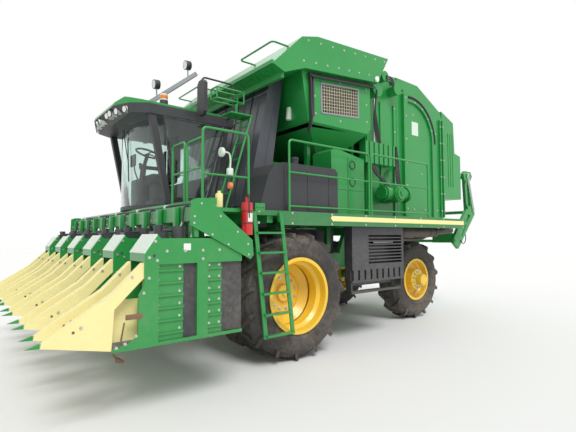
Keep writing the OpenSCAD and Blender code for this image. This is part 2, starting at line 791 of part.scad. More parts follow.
module accumulator() {
    color(green) machine() difference() {
        union() {
            side(box_side, -box_w / 2, box_w / 2);
            hopper(0);
            both() for (leg = [[-900, 3500], [-2050, 3790]])
                block([leg.x - 40, hopper_foot_y + 50, deck_under_z], [leg.x + 40, hopper_foot_y + 130, leg.y]);
        }
        hopper(wall);
        side([[-530, 3640], [-400, 4700], [-2020, 4700], [-2020, 3700]], -box_w / 2 + wall, box_w / 2 - wall);
        side(window_side, -box_w, box_w);
    }
    // Wire mesh over the window in each side
    color(green) machine() both() intersection() {
        side(inset(window_side, -6), box_w / 2 - 20, box_w / 2 - 8);
        union() {
            for (k = [1 : 8]) block([-820 - k * 99, 0, 3800], [-826 - k * 99, box_w, 4600]);
            for (k = [1 : 5]) side([
                [-800, 3900 + k * 82], [-800, 3907 + k * 82], [-1720, 3997 + k * 82], [-1720, 3990 + k * 82]
            ], 0, box_w);
        }
    }
}

window_side = [[-825, 3915], [-815, 4385], [-1700, 4480], [-1700, 3990]];

module hood() {
    color(green) machine() difference() {
        side(hood_side, -hood_w / 2, hood_w / 2);
        side(inset(hood_side, wall), -hood_w / 2 + wall, hood_w / 2 - wall);
        side([[-400, 4800], [-2040, 4800], [-2040, 4400], [-400, 4400]], -box_w / 2 + wall, box_w / 2 - wall);
        // Rows of air holes under the lip
        for (k = [0 : lip_holes - 1], x = [170, 225])
            translate([x, (k - (lip_holes - 1) / 2) * hood_w / (lip_holes + 1), 4300])
                cylinder(r = 18, h = 148, $fn = 6);
    }
    color(green) machine() {
        // Lip along the front edge, and the beam under it
        block([lip_x, -hood_w / 2, 4415], [lip_x + 40, hood_w / 2, 4475]);
        block([55, -hood_w / 2 + 60, 4270], [115, hood_w / 2 - 60, 4353]);
        // Guard rails ahead of the hood, one on each half
        both() tube_rail([
            [-150, guard_out, guard_z], [200, guard_out, guard_z], [200, guard_in, guard_z], [-150, guard_in, guard_z]
        ], 15);
    }
}

lip_holes = 26;
lip_x = 300;

guard_out = 1730;
guard_in = 800;
guard_z = 4860;

module chamber_sides() {
    // Roof between the sides
    color(green) machine() side([
        [-2320, 4627.5], [-2700, 5150], [-3290, 5199], [-3290, 5175], [-2712, 5124], [-2340, 4615]
    ], -chamber_y + 110, chamber_y - 110);
    color(green) machine() both() {
        side([
            [-2300, deck_under_z], [-2300, 4600], [-2700, 5150], [-3300, 5200], [-3300, deck_under_z]
        ], chamber_y - 120, chamber_y);
        block([-6300, rail_in, deck_under_z], [-3300, chamber_y, deck_under_z + 60]);
        block([-6300, rail_in, rear_frame_top], [-6200, rail_out, deck_under_z]);
        // Stiffening ribs on the outside
        for (rib = [[-2340, 2210], [-2760, 2850], [-3200, 2210]])
            block([rib.x - 25, chamber_y, rib.y], [rib.x + 25, chamber_y + 30, 4560]);
        // Brackets that hold the accumulator, and the gate's pins
        block([-2300, chamber_y - 120, 3900], [-2060, chamber_y, 4500]);
        cyl_y(gate_pin_x, gate_pin_z, chamber_y, chamber_y + gap + 35, pin_r);
    }
}

module baling_rollers() {
    color(steel) machine() {
        for (p = [[-2500, 2400], [-2450, 2800], [-2450, 4500], [-2800, 5000], [-3200, 2300]])
            cyl_y(p.x, p.y, -chamber_y + 120, chamber_y - 120, 90);
    }
}

drive_out = chamber_y + 400;

// Gearboxes, motors and a ribbed oil cooler on the chamber's sides
module chamber_drive() {
    color(dark) machine() both() {
        cyl_y(-2850, 2650, chamber_y, drive_out, 170);
        cyl_y(-2850, 2650, drive_out, drive_out + 40, 120);
        bar([-2450, chamber_y + 240, 2650], [-3280, chamber_y + 240, 2650], 130);
        for (x = [-2500, -3180]) bar([x, chamber_y + 240, 2650], [x - 40, chamber_y + 240, 2650], 160);
        cyl_y(-3100, 4850, chamber_y, chamber_y + 200, 120);
        cyl_y(-2640, 5000, chamber_y, chamber_y + 250, 105);
        cyl_y(-2500, 4730, chamber_y, chamber_y + 170, 145);
        difference() {
            block([-2980, chamber_y + 30, 3220], [-2080, chamber_y + 190, 3640]);
            for (k = [0 : 5]) block([-2930 + k * 145, chamber_y + 150, 3180], [-2890 + k * 145, chamber_y + 191, 3680]);
        }
        block([-2730, chamber_y, 3300], [-2370, chamber_y + 30, 3560]);
    }
}

// Screened cover over the engine, between the ducts and the baling chamber
module engine_cover() {
    color(green) machine() difference() {
        cross([
            [-cover_half, deck_under_z], [cover_half, deck_under_z], [cover_half, 2950],
            [cover_half - 200, 3150], [200 - cover_half, 3150], [-cover_half, 2950]
        ], -2230, -340);
        cross([
            [wall - cover_half, deck_under_z - 1], [cover_half - wall, deck_under_z - 1], [cover_half - wall, 2930],
            [cover_half - 220, 3110], [220 - cover_half, 3110], [wall - cover_half, 2930]
        ], -2190, -380);
        for (k = [0 : 9]) block([-2080, -cover_half - 1, 2260 + k * 62], [-520, cover_half + 1, 2290 + k * 62]);
    }
}

cover_half = 1100;

gate_pin_x = -3150;
gate_pin_z = 5060;
gate_swing_r = 215;

module rear_gate() {
    color(green) machine() {
        both() difference() {
            union() {
                difference() {
                    side([
                        [-3310, deck_under_z + 70], [-3310, 5210], [-4100, 5200], [-5000, 4760], [-5080, 4600],
                        [-5080, deck_under_z + 70]
                    ], chamber_y - 120, chamber_y);
                    cyl_y(gate_pin_x, gate_pin_z, 0, 2000, gate_swing_r);
                }
                // Ear that reaches the pin outside the chamber side
                cyl_y(gate_pin_x, gate_pin_z, chamber_y + gap, chamber_y + gap + 30, 60);
                side([
                    [gate_pin_x, 5000], [gate_pin_x, 5120], [-3560, 5150], [-3560, 4970]
                ], chamber_y + gap, chamber_y + gap + 30);
                block([-3560, chamber_y, 4970], [-3400, chamber_y + gap + 30, 5150]);
            }
            cyl_y(gate_pin_x, gate_pin_z, chamber_y, chamber_y + 100, pin_r + run);
        }
        block([-5080, -chamber_y + 120, 2300], [-5060, chamber_y - 120, 4600]);
        // Roof between the sides
        side([
            [-3400, 5190], [-3400, 5170], [-4095, 5162], [-4990, 4730], [-5060, 4580], [-5080, 4600],
            [-5000, 4760], [-4100, 5195]
        ], -chamber_y + 120, chamber_y - 120);
        both() {
            // Arched rib with its legs
            translate([arch_x, chamber_y + rib_t, arch_z]) rotate([90, 0, 0]) rotate([0, 0, 90])
                rotate_extrude(angle = 90, $fn = 96) translate([arch_r, 0]) square([rib_w, rib_t]);
            block([arch_x - arch_r - rib_w, chamber_y, 2250], [arch_x - arch_r, chamber_y + rib_t, arch_z]);
            block([arch_x, chamber_y, arch_z + arch_r], [-3640, chamber_y + rib_t, arch_z + arch_r + rib_w]);
            // Front post and the flanges at the back
            block([-3620, chamber_y, 2250], [-3480, chamber_y + 75, 4880]);
            for (x = [-4960, -5075]) block([x, chamber_y, 2250], [x + 30, chamber_y + 45, 4560]);
        }
    }
}

arch_x = -3800;
arch_z = 3960;
arch_r = 800;
rib_w = 60;
rib_t = 40;

wrap_side = [
    [-5080, 4800], [-5600, 4600], [-5640, 3850], [-5900, 3800], [-5900, 2720], [-5640, 2700], [-5080, 2700]
];

module gate_wrap_box() {
    color(green) machine() difference() {
        side(wrap_side, -chamber_y, chamber_y);
        side(inset(wrap_side, wall), -chamber_y + wall, chamber_y - wall);
        side([[-5079, 4560], [-5300, 4560], [-5300, 2760], [-5079, 2760]], -chamber_y + wall, chamber_y - wall);
        // Pressed flutes in the sides
        both() for (x = [-5330, -5430, -5530]) block([x - 20, chamber_y - 10, 3000], [x + 20, chamber_y + 1, 4300]);
    }
}

fork_pin_x = -6150;
fork_pin_z = 1700;

// Side arms with a raised head, cut out along their length, and the tubes that join them
module rear_handler() {
    color(green) machine() {
        both() difference() {
            side([
                [fork_pin_x + 60, fork_pin_z - 70], [fork_pin_x + 60, fork_pin_z + 60], [-6760, 2520],
                [-6700, 3300], [-6640, 3480], [-6720, 3560], [-7020, 3560], [-7100, 3440], [-6960, 3260],
                [-7080, 2560], [-7200, 2540], [-7190, 2400], [-6300, 1480]
            ], 1050, 1130);
            side([[-6850, 2620], [-6980, 2620], [-6900, 3200], [-6810, 3200]], 1000, 1200);
            side([[-6420, 1760], [-6500, 1800], [-6960, 2370], [-6820, 2400]], 1000, 1200);
            cyl_y(fork_pin_x, fork_pin_z, 1040, 1140, pin_r + run);
        }
        cyl_y(-6860, 3420, -1060, 1060, 50);
        cyl_y(-7080, 2470, -1060, 1060, 45);
        cyl_y(-6420, 1680, -1060, 1060, 40);
    }
}

// Lift linkage of the picking head, drawn in its raised place

link_drop = 340;
arm_angle = 25;
eye_w = 44;
arm_end = [lift_pin_x + arm_l * cos(arm_angle), lift_pin_z + arm_l * sin(arm_angle)];
lift_cyl_x = 820;
lift_cyl_z = 1000;
ram_reach = 520;
ram_end = [lift_pin_x + ram_reach * cos(arm_angle), lift_pin_z + ram_reach * sin(arm_angle)];
ram_pin_r = 20;
ram_play = 16;
cross_tube_at = 0.8;

// Bar with an eye at each end, in the plane at y
module link_bar(a, b, y, eye_r, depth, w) {
    difference() {
        union() {
            for (p = [a, b]) cyl_y(p.x, p.y, y - eye_w, y + eye_w, eye_r);
            aim([a.x, y, a.y], [b.x, y, b.y]) translate([-depth / 2, -w / 2, 0]) cube([depth, w, norm(b - a)]);
        }
        for (p = [a, b]) cyl_y(p.x, p.y, y - 2 * eye_w, y + 2 * eye_w, pin_r + run);
    }
}

module lift_arms() {
    color(green) machine() {
        both() {
            difference() {
                link_bar([lift_pin_x, lift_pin_z], arm_end, arm_y, 70, 120, 2 * eye_w - 8);
                // Slot that takes the eye of the lift cylinder's rod
                aim([ram_end.x, arm_y, ram_end.y], [arm_end.x, arm_y, arm_end.y])
                    block([-80, -29, -170], [80, 29, 70]);
            }
            cyl_y(ram_end.x, ram_end.y, arm_y - eye_w + 6, arm_y + eye_w - 6, ram_pin_r);
        }
        tube = [lift_pin_x, lift_pin_z] + cross_tube_at * (arm_end - [lift_pin_x, lift_pin_z]);
        cyl_y(tube.x, tube.y, -arm_y + eye_w - 10, arm_y - eye_w + 10, 45);
    }
}

module levelling_link() {
    color(green) machine()
        link_bar([lift_pin_x, lift_pin_z - link_drop], arm_end - [0, link_drop], 0, 60, 80, 50);
}

ram_v = ram_end - [lift_cyl_x, lift_cyl_z];
ram_dir = ram_v / norm(ram_v);

module lift_barrels() {
    color(green) machine() both() difference() {
        union() {
            cyl_y(lift_cyl_x, lift_cyl_z, arm_y - 22, arm_y + 22, 58);
            aim([lift_cyl_x, arm_y, lift_cyl_z], [ram_end.x, arm_y, ram_end.y])
                translate([0, 0, 50]) cylinder(r = 45, h = 510);
        }
        cyl_y(lift_cyl_x, lift_cyl_z, arm_y - 60, arm_y + 60, pin_r + run);
        aim([lift_cyl_x, arm_y, lift_cyl_z], [ram_end.x, arm_y, ram_end.y])
            translate([0, 0, 70]) cylinder(r = 25 + run, h = 700);
    }
}

module lift_rods() {
    color(steel) machine() both() difference() {
        union() {
            aim([lift_cyl_x, arm_y, lift_cyl_z], [ram_end.x, arm_y, ram_end.y])
                translate([0, 0, 345]) cylinder(r = 25, h = norm(ram_v) - 375);
            cyl_y(ram_end.x, ram_end.y, arm_y - 20, arm_y + 20, ram_pin_r + ram_play + 14);
        }
        cyl_y(ram_end.x, ram_end.y, arm_y - 30, arm_y + 30, ram_pin_r + ram_play);
    }
}

// Picking head

bar_x = 1780;
bar_w = 180;
bar_z = 1980;
head_half = (units - 1) / 2 * row_pitch;
unit_top = unit_z + unit_h;
half_w = unit_w / 2;
bar_half = head_half + half_w + 10;

module each_unit() {
    for (i = [0 : units - 1]) translate([0, i * row_pitch - head_half, 0]) children();
}

// Cheeks behind and under the toolbar with the pins of the lift linkage
module head_brackets() {
    color(green) machine() {
        both() {
            cheeks([
                [arm_end.x - 60, arm_end.y - 60], [bar_x, bar_z], [bar_x, bar_z + bar_w],
                [arm_end.x - 60, arm_end.y + 60]
            ], arm_y);
            cyl_y(arm_end.x, arm_end.y, arm_y - cheek_out, arm_y + cheek_out, pin_r);
        }
        cheeks([
            [arm_end.x - 60, arm_end.y - link_drop - 60], [arm_end.x + 60, arm_end.y - link_drop - 60],
            [bar_x + 100, bar_z], [bar_x, bar_z], [arm_end.x - 60, arm_end.y - link_drop + 60]
        ], 0);
        cyl_y(arm_end.x, arm_end.y - link_drop, -cheek_out, cheek_out, pin_r);
    }
}

module toolbar() {
    color(green) machine() {
        block([bar_x, -bar_half, bar_z], [bar_x + bar_w, bar_half, bar_z + bar_w]);
        each_unit() for (x = [bar_x + 10, bar_x + 110])
            block([x, -60, unit_top - 35], [x + 40, 60, bar_z]);
        // Pale cover along the top of the bar
        side([[bar_x - 20, bar_z + bar_w], [bar_x + bar_w - 40, bar_z + bar_w], [bar_x + 60, bar_z + bar_w + 70], [bar_x - 20, bar_z + bar_w + 70]],
            -bar_half, bar_half);
    }
}

// Motor and gear case over each unit, with the shaft between them
module unit_drives() {
    color(dark) machine() each_unit() {
        translate([2090, 40, unit_top - 35]) cylinder(r = 75, h = 130);
        block([2180, -190, unit_top - 35], [2330, -40, unit_top + 40]);
        translate([2255, -115, unit_top + 40]) cylinder(r = 50, h = 70);
        bar([2090, 40, unit_top + 50], [2255, -115, unit_top + 50], 18);
        translate([1500, 0, unit_top - 35]) cylinder(r = 90, h = 60);
    }
}

module end_shields() {
    color(green) machine() both()
        side([
            [2077, 1927], [2067, 2190], [1999, 2215], [1905, 2220], [1857, 2201], [1297, 1765], [1283, 1591],
            [1325, 1546]
        ], bar_half, bar_half + plate);
}

post_x0 = 1860;
post_x1 = 1985;
door_z0 = 770;
door_z1 = 1530;
brow_x = 2546;
heel_x = 2842;

// Outline of an arch plate from its foot to the pillar's top, closed at x_back
function arch_side(x_back, top_back) = [
    [heel_x - 1.5, unit_z], [heel_x - 1.5, 766], [2700, 790], [2600, 860], [2600, 1250], [brow_x, 1330],
    [brow_x, 1640], [2416, unit_top], [2380, top_back], [x_back, top_back], [x_back, unit_z]
];

module unit_frames() {
    color(green) machine() each_unit() {
        // Left side plate with its two door openings
        difference() {
            side(arch_side(1430, unit_top - 35), half_w - plate, half_w);
            block([post_x1, half_w - 50, door_z0], [2400, half_w + 1, door_z1]);
            block([1400, half_w - 50, door_z0], [post_x0, half_w + 1, door_z1]);
        }
        // Right plate of the front arch, bridge and pillars
        side(arch_side(2300, unit_top - 35), -150, -150 + plate);
        side([[brow_x, 1560], [brow_x, 1640], [2416, unit_top], [2380, unit_top - 35], [2380, 1560]],
            -150 + plate, half_w - plate);
        block([2440, half_w - 60, unit_z], [brow_x, half_w - plate, 1560]);
        block([post_x0, half_w - 70, unit_z], [post_x1, half_w - plate, 1560]);
        // Housing over the row and drum cabinet beside it
        block([1430, -half_w, 1560], [2380, half_w - plate, unit_top - 35]);
        block([1430, -half_w, unit_z + 20], [2400, -20, 1560]);
    }
}

module unit_doors() {
    color(green) machine() each_unit() for (d = [[2130, 2440], [1680, post_x0]]) {
        block([d[0], half_w - 46, door_z0], [d[1], half_w - 30, door_z1]);
        for (k = [0 : 5]) block([d[0], half_w - 30, door_z0 + 60 + k * 125], [d[1], half_w - 12, door_z0 + 78 + k * 125]);
    }
}

module unit_caps() {
    color([0.9, 0.93, 0.9]) machine() each_unit()
        side([[2416, unit_top + 0.3], [brow_x, 1640.3], [2556, 1648], [2426, unit_top + 9]], -140, half_w);
}

module rubber_flaps() {
    color(rubber) machine() each_unit() {
        block([post_x1, half_w - 42, door_z0], [2130, half_w - 34, door_z1]);
        block([1420, half_w - 42, door_z0], [1680, half_w - 34, door_z1]);
    }
}

lifter_ys = [215, -165];

module stalk_lifters() {
    color(yellow) machine() each_unit() for (y = lifter_ys) translate([0, y, 0]) intersection() {
        side([
            [3410, 860], [3400, 905], [2828, 1271], [brow_x + 0.3, 1550], [brow_x + 0.3, 1400], [2600, 1350],
            [2820, 1130], [heel_x, 752]
        ], -65, 65);
        plan([[3410, -16], [3410, 16], [2900, 60], [2500, 50], [2500, -50], [2900, -60]], 600, 1700);
    }
}

module lifter_points() {
    color(green) machine() each_unit() for (y = lifter_ys) translate([0, y, 0])
        side([[nose_x, 866], [3410.3, 905], [3410.3, 860]], -14, 14);
}

chassis_frame();
cross_members();
lift_brackets();
cab_bearers();
front_axle();
rear_axle();
engine_block();
platforms();
deck_rails();
front_ladder();
landing();
landing_rails();
side_shields();
exhaust();
fluid_tanks();
service_boxes();
cab_body();
cab_roof();
roof_trim();
cab_glass();
cab_interior();
cab_door();
roof_lamps();
lamp_mast();
mirrors();
fire_extinguisher();
air_ducts();
accumulator();
hood();
engine_cover();
chamber_sides();
baling_rollers();
chamber_drive();
rear_gate();
gate_wrap_box();
rear_handler();
rim_front_left();
rim_front_right();
tyre_front_left();
tyre_front_right();
rim_rear_left();
rim_rear_right();
tyre_rear_left();
tyre_rear_right();
knuckle_left();
knuckle_right();
lift_arms();
levelling_link();
lift_barrels();
lift_rods();
head_brackets();
toolbar();
unit_drives();
end_shields();
unit_frames();
unit_doors();
unit_caps();
rubber_flaps();
stalk_lifters();
lifter_points();
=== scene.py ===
"""Looks of a self-propelled cotton harvester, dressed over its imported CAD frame.

Every length is in metres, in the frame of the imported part: +X points forward,
+Y to the machine's left, and Z is the height over the ground. The pieces' own
places are measured along the machine from the front axle.
"""

import json
import logging
import math
from dataclasses import dataclass
from enum import Enum
from typing import Iterable, Optional, Sequence

import bpy
from mathutils import Matrix, Vector


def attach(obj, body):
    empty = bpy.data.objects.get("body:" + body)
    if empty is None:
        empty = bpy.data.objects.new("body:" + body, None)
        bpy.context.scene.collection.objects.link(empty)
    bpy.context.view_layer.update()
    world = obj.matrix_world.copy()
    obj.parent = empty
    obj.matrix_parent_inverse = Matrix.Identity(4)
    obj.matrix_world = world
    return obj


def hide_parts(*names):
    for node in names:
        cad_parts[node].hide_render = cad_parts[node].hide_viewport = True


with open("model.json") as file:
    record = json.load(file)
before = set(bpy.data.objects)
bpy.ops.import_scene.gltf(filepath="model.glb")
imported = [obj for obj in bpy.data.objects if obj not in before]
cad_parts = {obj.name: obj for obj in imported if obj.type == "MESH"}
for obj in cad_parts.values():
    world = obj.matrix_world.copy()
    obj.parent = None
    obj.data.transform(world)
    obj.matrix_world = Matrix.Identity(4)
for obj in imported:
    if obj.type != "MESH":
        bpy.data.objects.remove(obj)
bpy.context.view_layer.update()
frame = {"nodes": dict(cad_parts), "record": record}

log = logging.getLogger("cotton_harvester")

Colour = tuple[float, float, float]
Point = tuple[float, float, float]
Piece = bpy.types.Object
Node = bpy.types.Node
Socket = bpy.types.NodeSocket
Tree = bpy.types.NodeTree

# Distance from the origin forward to the front axle
AXLE = 1.84
# The machine's left and right, as the sign of y
SIDES = (1, -1)
# The direction out of the left side
LEFT = (0, 1, 0)
# Edges that turn less than this, in degrees, are shaded as smooth
SMOOTH_TURN = 35


class Paint(Enum):
    """The finishes that the machine's pieces take, by the record's slot."""

    GREEN = "green_paint"
    YELLOW = "yellow_paint"
    LIFTER = "yellow_plastic"
    TYRE = "tyre_rubber"
    SHEET = "rubber_sheet"
    PLASTIC = "dark_plastic"
    SATIN = "dark_paint"
    EXHAUST = "exhaust_steel"
    GLASS = "glass"
    LENS = "lamp_lens"
    RED = "red_paint"
    STEEL = "steel"
    PALE = "pale_paint"
    ZINC = "zinc_bolts"
    HOSE = "hose_rubber"
    LABEL = "blank_label"
    RUST = "rusty_steel"
    GREY = "grey_paint"
    STRIPE = "stripe_film"
    AMBER = "amber_lens"
    SEAT = "seat_cloth"
    CHROME = "polished_steel"
    TREAD = "tread_plate"
    DUCT = "duct_plastic"
    WIRE = "dusty_wire"


# Node trees


@dataclass
class Wiring:
    """Short calls for adding and joining the nodes of one node tree."""

    tree: Tree

    def add(self, kind: str, **values: object) -> Node:
        """Adds a node and sets its properties.

        Args:
            kind: The node's class name.
            values: Properties of the node, by name.

        Returns:
            The new node.
        """
        node = self.tree.nodes.new(kind)
        for name, value in values.items():
            setattr(node, name, value)
        return node

    def put(self, socket: Socket, source: object) -> None:
        """Links a socket to another one, or gives it a plain value.

        Args:
            socket: The socket that takes the value.
            source: A socket to link, or a plain value.
        """
        if isinstance(source, Socket):
            self.tree.links.new(source, socket)
        else:
            socket.default_value = source

    def feed(self, node: Node, **sources: object) -> None:
        """Sets or links inputs of a node by name, with spaces written as underscores.

        Args:
            node: The node that takes the values.
            sources: A socket to link, or a plain value, for each input.
        """
        for name, source in sources.items():
            self.put(node.inputs[name.replace("_", " ")], source)

    def maths(self, operation: str, *sources: object, clamp: bool = False) -> Socket:
        """Adds a Math node over one to three values.

        Args:
            operation: The Math node's operation.
            sources: Sockets or plain numbers, in the order of the node's inputs.
            clamp: Whether the result is kept between 0 and 1.

        Returns:
            The result's socket.
        """
        node = self.add("ShaderNodeMath", operation=operation, use_clamp=clamp)
        for socket, source in zip(node.inputs, sources):
            self.put(socket, source)
        return node.outputs[0]

    def noise(self, vector: Socket, scale: object, detail: float, rough: float) -> Socket:
        """Adds a Noise Texture.

        Args:
            vector: The coordinates that it reads.
            scale: How many features fit in a metre, as a number or a socket.
            detail: Its octaves.
            rough: How strong the finer octaves are.

        Returns:
            The noise's value.
        """
        node = self.add("ShaderNodeTexNoise")
        self.feed(node, Vector=vector, Scale=scale, Detail=detail, Roughness=rough)
        return node.outputs["Fac"]

    def span(
        self, value: Socket, low: object, high: object, to_low: float = 0.0, to_high: float = 1.0
    ) -> Socket:
        """Adds a clamped Map Range.

        Args:
            value: The value to map.
            low: The value that becomes to_low.
            high: The value that becomes to_high.
            to_low: The result at low.
            to_high: The result at high.

        Returns:
            The mapped value.
        """
        node = self.add("ShaderNodeMapRange", clamp=True)
        self.feed(node, Value=value, From_Min=low, From_Max=high, To_Min=to_low, To_Max=to_high)
        return node.outputs["Result"]

    def mix(self, factor: object, first: object, second: object) -> Socket:
        """Adds a colour mix.

        Args:
            factor: How much of the second colour shows.
            first: The colour below.
            second: The colour above.

        Returns:
            The mixed colour.
        """
        node = self.add("ShaderNodeMix", data_type="RGBA")
        for index, source in ((0, factor), (6, first), (7, second)):
            self.put(node.inputs[index], source)
        return node.outputs[2]


def new_group(
    name: str, inputs: Sequence[tuple], outputs: Sequence[tuple]
) -> tuple[Tree, Wiring, Node, Node]:
    """Makes an empty shader node group with named sockets.

    Args:
        name: The group's name.
        inputs: Name, kind and default of each input.
        outputs: Name and kind of each output.

    Returns:
        The group, its wiring, its input node and its output node.
    """
    tree = bpy.data.node_groups.new(name, "ShaderNodeTree")
    for label, kind, default in inputs:
        socket = tree.interface.new_socket(label, in_out="INPUT", socket_type=f"NodeSocket{kind}")
        if default is not None:
            socket.default_value = default
    for label, kind in outputs:
        tree.interface.new_socket(label, in_out="OUTPUT", socket_type=f"NodeSocket{kind}")
    wiring = Wiring(tree)
    return tree, wiring, wiring.add("NodeGroupInput"), wiring.add("NodeGroupOutput")


class Effects:
    """The node groups that several finishes share, each built once."""

    # Features in a metre of the dust's patches, its speckle and the rubbed spots
    PATCHES, SPECKLE, SPOTS = 1.1, 17.0, 1.9
    # How much dust an upward face, a low place and any place at all draw
    ON_TOP, DOWN_LOW, ANYWHERE = 0.65, 0.75, 0.12
    # What the amount of dust is multiplied by, to reach the mask's full range
    DUST_GAIN = 2.6

    def __init__(self) -> None:
        """Starts with no group built."""
        self.built: dict[str, Tree] = {}

    def get(self, name: str) -> Tree:
        """Gives a group by name, and builds it the first time.

        Args:
            name: The group's name.

        Returns:
            The group.
        """
        if name not in self.built:
            self.built[name] = getattr(self, f"make_{name}")()
        return self.built[name]

    def make_field_dust(self) -> Tree:
        """Builds dust that settles on upward and low surfaces, in patches.

        Returns:
            The group.
        """
        tree, wire, given, out = new_group(
            "field_dust",
            [
                ("Vector", "Vector", None),
                ("Up", "Float", 0.0),
                ("Colour", "Color", (0.5, 0.5, 0.5, 1)),
                ("Dust", "Color", (0.3, 0.26, 0.21, 1)),
                ("Amount", "Float", 0.3),
                ("Mottle", "Float", 0.15),
                ("Low", "Float", 0.2),
                ("High", "Float", 2.2),
            ],
            [("Colour", "Color"), ("Mask", "Float"), ("Height", "Float")],
        )
        take = given.outputs
        axes = wire.add("ShaderNodeSeparateXYZ")
        wire.put(axes.inputs[0], take["Vector"])
        low = wire.span(axes.outputs["Z"], take["Low"], take["High"], 1.0, 0.0)
        up = wire.span(take["Up"], 0.15, 0.95)
        broad = wire.noise(take["Vector"], self.PATCHES, 5.0, 0.6)
        fine = wire.noise(take["Vector"], self.SPECKLE, 8.0, 0.68)
        patches = wire.maths("MULTIPLY", wire.span(broad, 0.32, 0.66), wire.span(fine, 0.30, 0.72))
        up = wire.maths("MULTIPLY", up, self.ON_TOP)
        where = wire.maths("ADD", up, wire.maths("MULTIPLY", low, self.DOWN_LOW))
        where = wire.maths("ADD", where, self.ANYWHERE)
        amount = wire.maths("MULTIPLY", take["Amount"], self.DUST_GAIN)
        where = wire.maths("MULTIPLY", patches, where)
        mask = wire.maths("MULTIPLY", where, amount, clamp=True)
        shade = wire.maths("SUBTRACT", wire.span(broad, 0.3, 0.7), 0.5)
        shade = wire.maths("MULTIPLY_ADD", shade, take["Mottle"], 1.0)
        tone = wire.add("ShaderNodeHueSaturation")
        wire.feed(tone, Hue=0.5, Saturation=1.0, Value=shade, Fac=1.0, Color=take["Colour"])
        colour = wire.mix(mask, tone.outputs[0], take["Dust"])
        wire.feed(out, Colour=colour, Mask=mask, Height=wire.maths("MULTIPLY", mask, fine))
        return tree

    def make_scuffs(self) -> Tree:
        """Builds short crossing scratches and rubbed spots.

        Returns:
            The group.
        """
        tree, wire, given, out = new_group(
            "scuffs",
            [("Vector", "Vector", None), ("Scale", "Float", 6.0), ("Amount", "Float", 0.3)],
            [("Mask", "Float")],
        )
        take = given.outputs
        stretch = wire.add("ShaderNodeMapping", vector_type="TEXTURE")
        wire.feed(stretch, Vector=take["Vector"])
        wire.feed(stretch, Rotation=(0.5, 0.35, 0.8), Scale=(1.0, 0.12, 0.5))
        marks = wire.noise(stretch.outputs[0], take["Scale"], 6.0, 0.7)
        spots = wire.noise(take["Vector"], self.SPOTS, 3.0, 0.5)
        mask = wire.maths("MULTIPLY", wire.span(marks, 0.60, 0.72), wire.span(spots, 0.48, 0.66))
        wire.feed(out, Mask=wire.maths("MULTIPLY", mask, take["Amount"], clamp=True))
        return tree


EFFECTS = Effects()


@dataclass(frozen=True)
class Finish:
    """One finish: a Principled shader under dust, scuffs and a fine bump."""

    name: str
    colour: Colour
    roughness: float = 0.4
    metallic: float = 0.0
    coat: float = 0.0
    mottle: float = 0.12
    dust: float = 0.25
    dust_colour: Colour = (0.30, 0.26, 0.21)
    dust_low: float = 0.2
    dust_high: float = 2.4
    worn: Optional[Colour] = None
    wear: float = 0.0
    grain: float = 140.0
    grain_depth: float = 0.0006
    transmission: float = 0.0
    # The same for every finish: what dust adds to roughness and to height
    dust_roughness: float = 0.45
    dust_height: float = 1.2
    coat_roughness: float = 0.12
    bump: float = 0.6

    def build(self) -> bpy.types.Material:
        """Makes the material.

        Returns:
            The finished material.
        """
        material = bpy.data.materials.new(self.name)
        material.use_nodes = True
        tree = material.node_tree
        tree.nodes.clear()
        wire = Wiring(tree)
        shader = wire.add("ShaderNodeBsdfPrincipled")
        wire.feed(wire.add("ShaderNodeOutputMaterial"), Surface=shader.outputs[0])
        place = wire.add("ShaderNodeTexCoord").outputs["Object"]
        facing = wire.add("ShaderNodeSeparateXYZ")
        wire.feed(facing, Vector=wire.add("ShaderNodeNewGeometry").outputs["Normal"])
        dust = wire.add("ShaderNodeGroup", node_tree=EFFECTS.get("field_dust"))
        wire.feed(dust, Vector=place, Up=facing.outputs["Z"], Amount=self.dust, Mottle=self.mottle)
        wire.feed(dust, Colour=(*self.colour, 1.0), Dust=(*self.dust_colour, 1.0))
        wire.feed(dust, Low=self.dust_low, High=self.dust_high)
        colour, mask = dust.outputs["Colour"], dust.outputs["Mask"]
        rough = wire.maths("MULTIPLY_ADD", mask, self.dust_roughness, self.roughness, clamp=True)
        if self.worn:
            marks = wire.add("ShaderNodeGroup", node_tree=EFFECTS.get("scuffs"))
            wire.feed(marks, Vector=place, Amount=self.wear)
            colour = wire.mix(marks.outputs["Mask"], colour, (*self.worn, 1.0))
        grain = wire.noise(place, self.grain, 3.0, 0.6)
        dust_relief = wire.maths("MULTIPLY", dust.outputs["Height"], self.dust_height)
        relief = wire.maths("ADD", grain, dust_relief)
        bump = wire.add("ShaderNodeBump")
        wire.feed(bump, Strength=self.bump, Distance=self.grain_depth, Height=relief)
        wire.feed(shader, Base_Color=colour, Roughness=rough, Metallic=self.metallic)
        wire.feed(shader, Coat_Weight=self.coat, Coat_Roughness=self.coat_roughness)
        wire.feed(shader, Transmission_Weight=self.transmission, Normal=bump.outputs[0])
        return material


